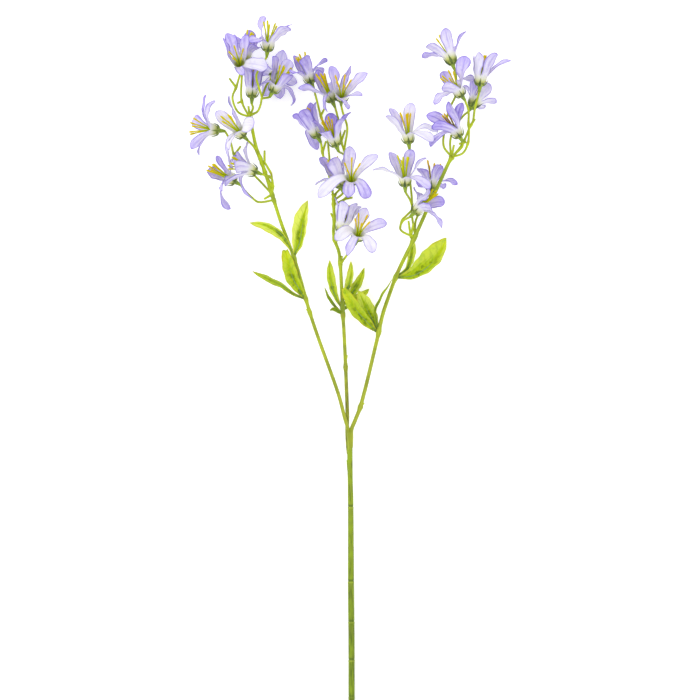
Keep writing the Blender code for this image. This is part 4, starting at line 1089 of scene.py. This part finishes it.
def makeLeafMaterial(name, leafShade):
    material, tree, shader = newMaterial(name, blade["roughness"], blade["sheen"], blade["glow"],
                                         blade["gloss"])
    u, v = uvParts(tree)
    ink = placeInk(tree, u, v)
    edgeGap, ribGap = attribute(tree, "edgeGap"), attribute(tree, "ribGap")
    across = maths(tree, "ABSOLUTE", maths(tree, "SUBTRACT", u, 0.5))
    dark = times(tree, between(tree, ink["Patches"], 0.45, 0.6), between(tree, v, 1.0, 0.4),
                 between(tree, ribGap, 8.0, 1.5, 0.2, 0.9))
    ragged = maths(tree, "ADD", uneven(tree, across, ink["Streaks"], 0.5),
                   between(tree, v, 0.2, 1.0, 0.0, 0.26))
    pale = times(tree, between(tree, ragged, 0.24, 0.42), attribute(tree, "tone"))
    slant = maths(tree, "SUBTRACT", maths(tree, "MULTIPLY", v, 8.0), maths(tree, "MULTIPLY", across, 2.6))
    slant = maths(tree, "MULTIPLY_ADD", ink["Patches"], 1.2, slant)
    veins = between(tree, maths(tree, "SINE", maths(tree, "MULTIPLY", slant, math.tau)), 0.6, 1.0)
    veins = times(tree, veins, between(tree, across, 0.5, 0.3))
    rib = times(tree, between(tree, ribGap, 0.75, 0.25), between(tree, v, 0.72, 0.4))
    worn = times(tree, between(tree, edgeGap, 1.1, 0.2), between(tree, ink["Streaks"], 0.46, 0.6))
    # the leaf's darkness is painted shade, even over the whole leaf
    colour = paint(tree, blade["green"], (between(tree, ink["Patches"], 0.38, 0.6), blade["bright"]),
                   (dark, blade["dark"]), (pale, blade["margin"]), (veins, blade["veinInk"]),
                   (rib, blade["ribInk"]), (worn, blade["ochre"]), (leafShade, blade["shade"]),
                   (between(tree, v, 0.16, 0.0), blade["footInk"]))
    cloth = placeGroup(tree, wovenCloth, Across=u, Along=v, Threads=blade["threads"])
    dress(tree, shader, colour, (ink["Pleats"], *blade["pleats"]), (cloth["Height"], *blade["weave"]))
    return material


# Each level of painted shade gets its own copy of the leaf cloth.
leafMaterials = {}
for side, shapes in leaves.items():
    for number, (shape, look) in enumerate(zip(shapes, leafLooks[side]), 1):
        leafShade = look[1]
        if leafShade not in leafMaterials:
            leafMaterials[leafShade] = makeLeafMaterial(f"leafClothShade{len(leafMaterials) + 1}", leafShade)
        makeLeaf(f"{side}Leaf{number}", shape, look, leafMaterials[leafShade])
print("leaves made")

# Main stem: bare, with moulded joints, one scar and the top that the branches stand on
mainStem = {
    "line": [(1.6, -6.0, 3.2), (1.5, 60.0, 6.75), (1.0, 110.0, 9.45), (0.85, 160.0, 12.19),
             (0.6, 200.0, 14.45), (-0.05, 235.0, 16.44), (-0.3, 269.6, 18.4)],
    "radii": [(-6.0, 3.14), (100.0, 3.18), (130.0, 3.1), (158.0, 2.98), (200.0, 2.84), (219.0, 2.64),
              (236.0, 2.8), (270.0, 2.82)],
    "joints": ((2.0, 0.6), (39.0, 1.0), (77.5, 0.9), (118.0, 1.0), (153.0, 0.3), (193.0, 1.0)),
    "lip": 0.22, "groove": 0.32, "jointLength": 1.0, "roundedTop": 2.5, "sides": 24, "step": 0.7,
    "scar": [(-1.4, 222, 16.3), (-2.2, 232, 16.8), (-2.6, 240, 17.2)], "scarRadius": 1.1, "scarSides": 12,
    "roughness": 0.4, "gloss": 0.28, "skin": (0.2, 0.4),
    "low": tint(103, 124, 16), "high": coat(144, 164, 32), "light": coat(141, 167, 26, 0.8),
    # The joints' groove colour is painted shade and their lip colour a painted highlight.
    "dark": coat(78, 99, 18, 0.7), "grey": coat(116, 126, 44, 0.45), "grooveShade": coat(78, 99, 18, 0.75),
    "lipHighlight": coat(178, 192, 72, 0.85),
}
stemLine = smoothPath(mainStem["line"], mainStem["step"])
stemFoot = mainStem["line"][0][1]


def jointOffs(done):   # how far each joint is, in joint lengths, and its strength
    return [((done - (joint - stemFoot)) / mainStem["jointLength"], strength)
            for joint, strength in mainStem["joints"]]


def stemRadius(done, share):
    along = done + stemFoot
    radius = mainStem["radii"][-1][1]
    for (start, low), (end, high) in zip(mainStem["radii"], mainStem["radii"][1:]):
        if start <= along < end:
            radius = mix(low, high, ease(along, start, end))
    for off, strength in jointOffs(done):
        lip, groove = mainStem["lip"] * hump(off + 0.7, 1.0), mainStem["groove"] * hump(off - 0.7, 0.7)
        radius += strength * (lip - groove)
    left = (1 - share) * lengthOf([stemLine[0], stemLine[-1]])
    return radius * (0.55 + 0.45 * ease(left, 0, mainStem["roundedTop"]))


def scarRadius(done, share):
    return mainStem["scarRadius"] * (1 + share) / 2


# This places painted shade in each joint's groove and a painted highlight on its lip.
def jointShade(done):   # 0 on a lip, 1 in a groove, 0.5 elsewhere
    groove = max(strength * hump(off - 1.2, 1.6) for off, strength in jointOffs(done))
    lip = max(strength * hump(off + 0.6, 0.7) for off, strength in jointOffs(done))
    return 0.5 + 0.5 * groove - 0.5 * lip


def makeStemMaterial():
    material, tree, shader = newMaterial("stemPlastic", mainStem["roughness"], gloss=mainStem["gloss"])
    u, v = uvParts(tree)
    moulded = placeMoulded(tree, u)
    streak = longNoise(tree, u, v, 7.0, 14.0, 4.0)
    shade = attribute(tree, "tone")
    # the joint marks are painted shade in the grooves and a painted highlight on the lips
    colour = paint(tree, mainStem["low"], (between(tree, v, 0.1, 0.95), mainStem["high"]),
                   (between(tree, streak, 0.45, 0.62), mainStem["light"]),
                   (between(tree, streak, 0.47, 0.36), mainStem["dark"]),
                   (moulded["Dirt"], mainStem["grey"]),
                   (between(tree, shade, 0.55, 1.0), mainStem["grooveShade"]),
                   (between(tree, shade, 0.45, 0.0), mainStem["lipHighlight"]))
    dress(tree, shader, colour, (moulded["Height"], *mainStem["skin"]))
    return material


def makeMainStem():
    skin = Skin()
    skin.rod(stemLine, stemRadius, mainStem["sides"], tone=jointShade)
    skin.rod(smoothPath(mainStem["scar"], 1.0), scarRadius, mainStem["scarSides"])
    skin.piece("mainStem", [makeStemMaterial()], ["main_stem"], "stem_green")


makeMainStem()
print("main stem made")

# Table, light and camera
studio = {
    "floorSize": 9.0, "floor": (0.95, 0.95, 0.95, 1.0), "floorGlow": 0.3, "floorDrop": 0.0002,
    "white": (1.0, 1.0, 1.0, 1.0), "sky": 1.02, "keySize": 3.0, "keyPower": 34.0,
    "keyPlace": (-1.4, 1.2, 3.2), "lens": 600.0, "sensor": 36.0, "view": 0.7, "bloomHeight": 0.04,
    "middle": inFrame((0, 350, 0)),
}


def makeTable():
    bm = bmesh.new()
    bmesh.ops.create_grid(bm, x_segments=1, y_segments=1, size=studio["floorSize"] / 2)
    mesh = bpy.data.meshes.new("table")
    bm.to_mesh(mesh)
    bm.free()
    material, tree, shader = newMaterial("tablePaper", 0.9)
    shader.inputs["Base Color"].default_value = studio["floor"]
    shader.inputs["Emission Color"].default_value = studio["white"]
    shader.inputs["Emission Strength"].default_value = studio["floorGlow"]
    mesh.materials.append(material)
    table = addObject("table", mesh)
    table.location.z = -studio["floorDrop"]


def makeLight():
    world = bpy.data.worlds.new("softSky")
    world.use_nodes = True
    sky = world.node_tree.nodes["Background"].inputs
    sky["Color"].default_value = studio["white"]
    sky["Strength"].default_value = studio["sky"]
    bpy.context.scene.world = world
    bpy.context.scene.view_settings.view_transform = "Standard"

    light = bpy.data.lights.new("key", "AREA")
    light.size = studio["keySize"]
    light.energy = studio["keyPower"]
    key = addObject("key", light)
    key.location = studio["keyPlace"]
    key.rotation_euler = (-key.location).to_track_quat("-Z", "Y").to_euler()


def makeCamera():
    lens = bpy.data.cameras.new("camera")
    lens.lens = studio["lens"]
    lens.sensor_width = studio["sensor"]
    lens.clip_end = 100.0
    camera = addObject("camera", lens)
    distance = studio["view"] * studio["lens"] / studio["sensor"]
    camera.location = (*studio["middle"].xy, studio["bloomHeight"] + distance)   # straight down, +Y up
    bpy.context.scene.camera = camera


makeTable()
makeLight()
makeCamera()
print("studio made")
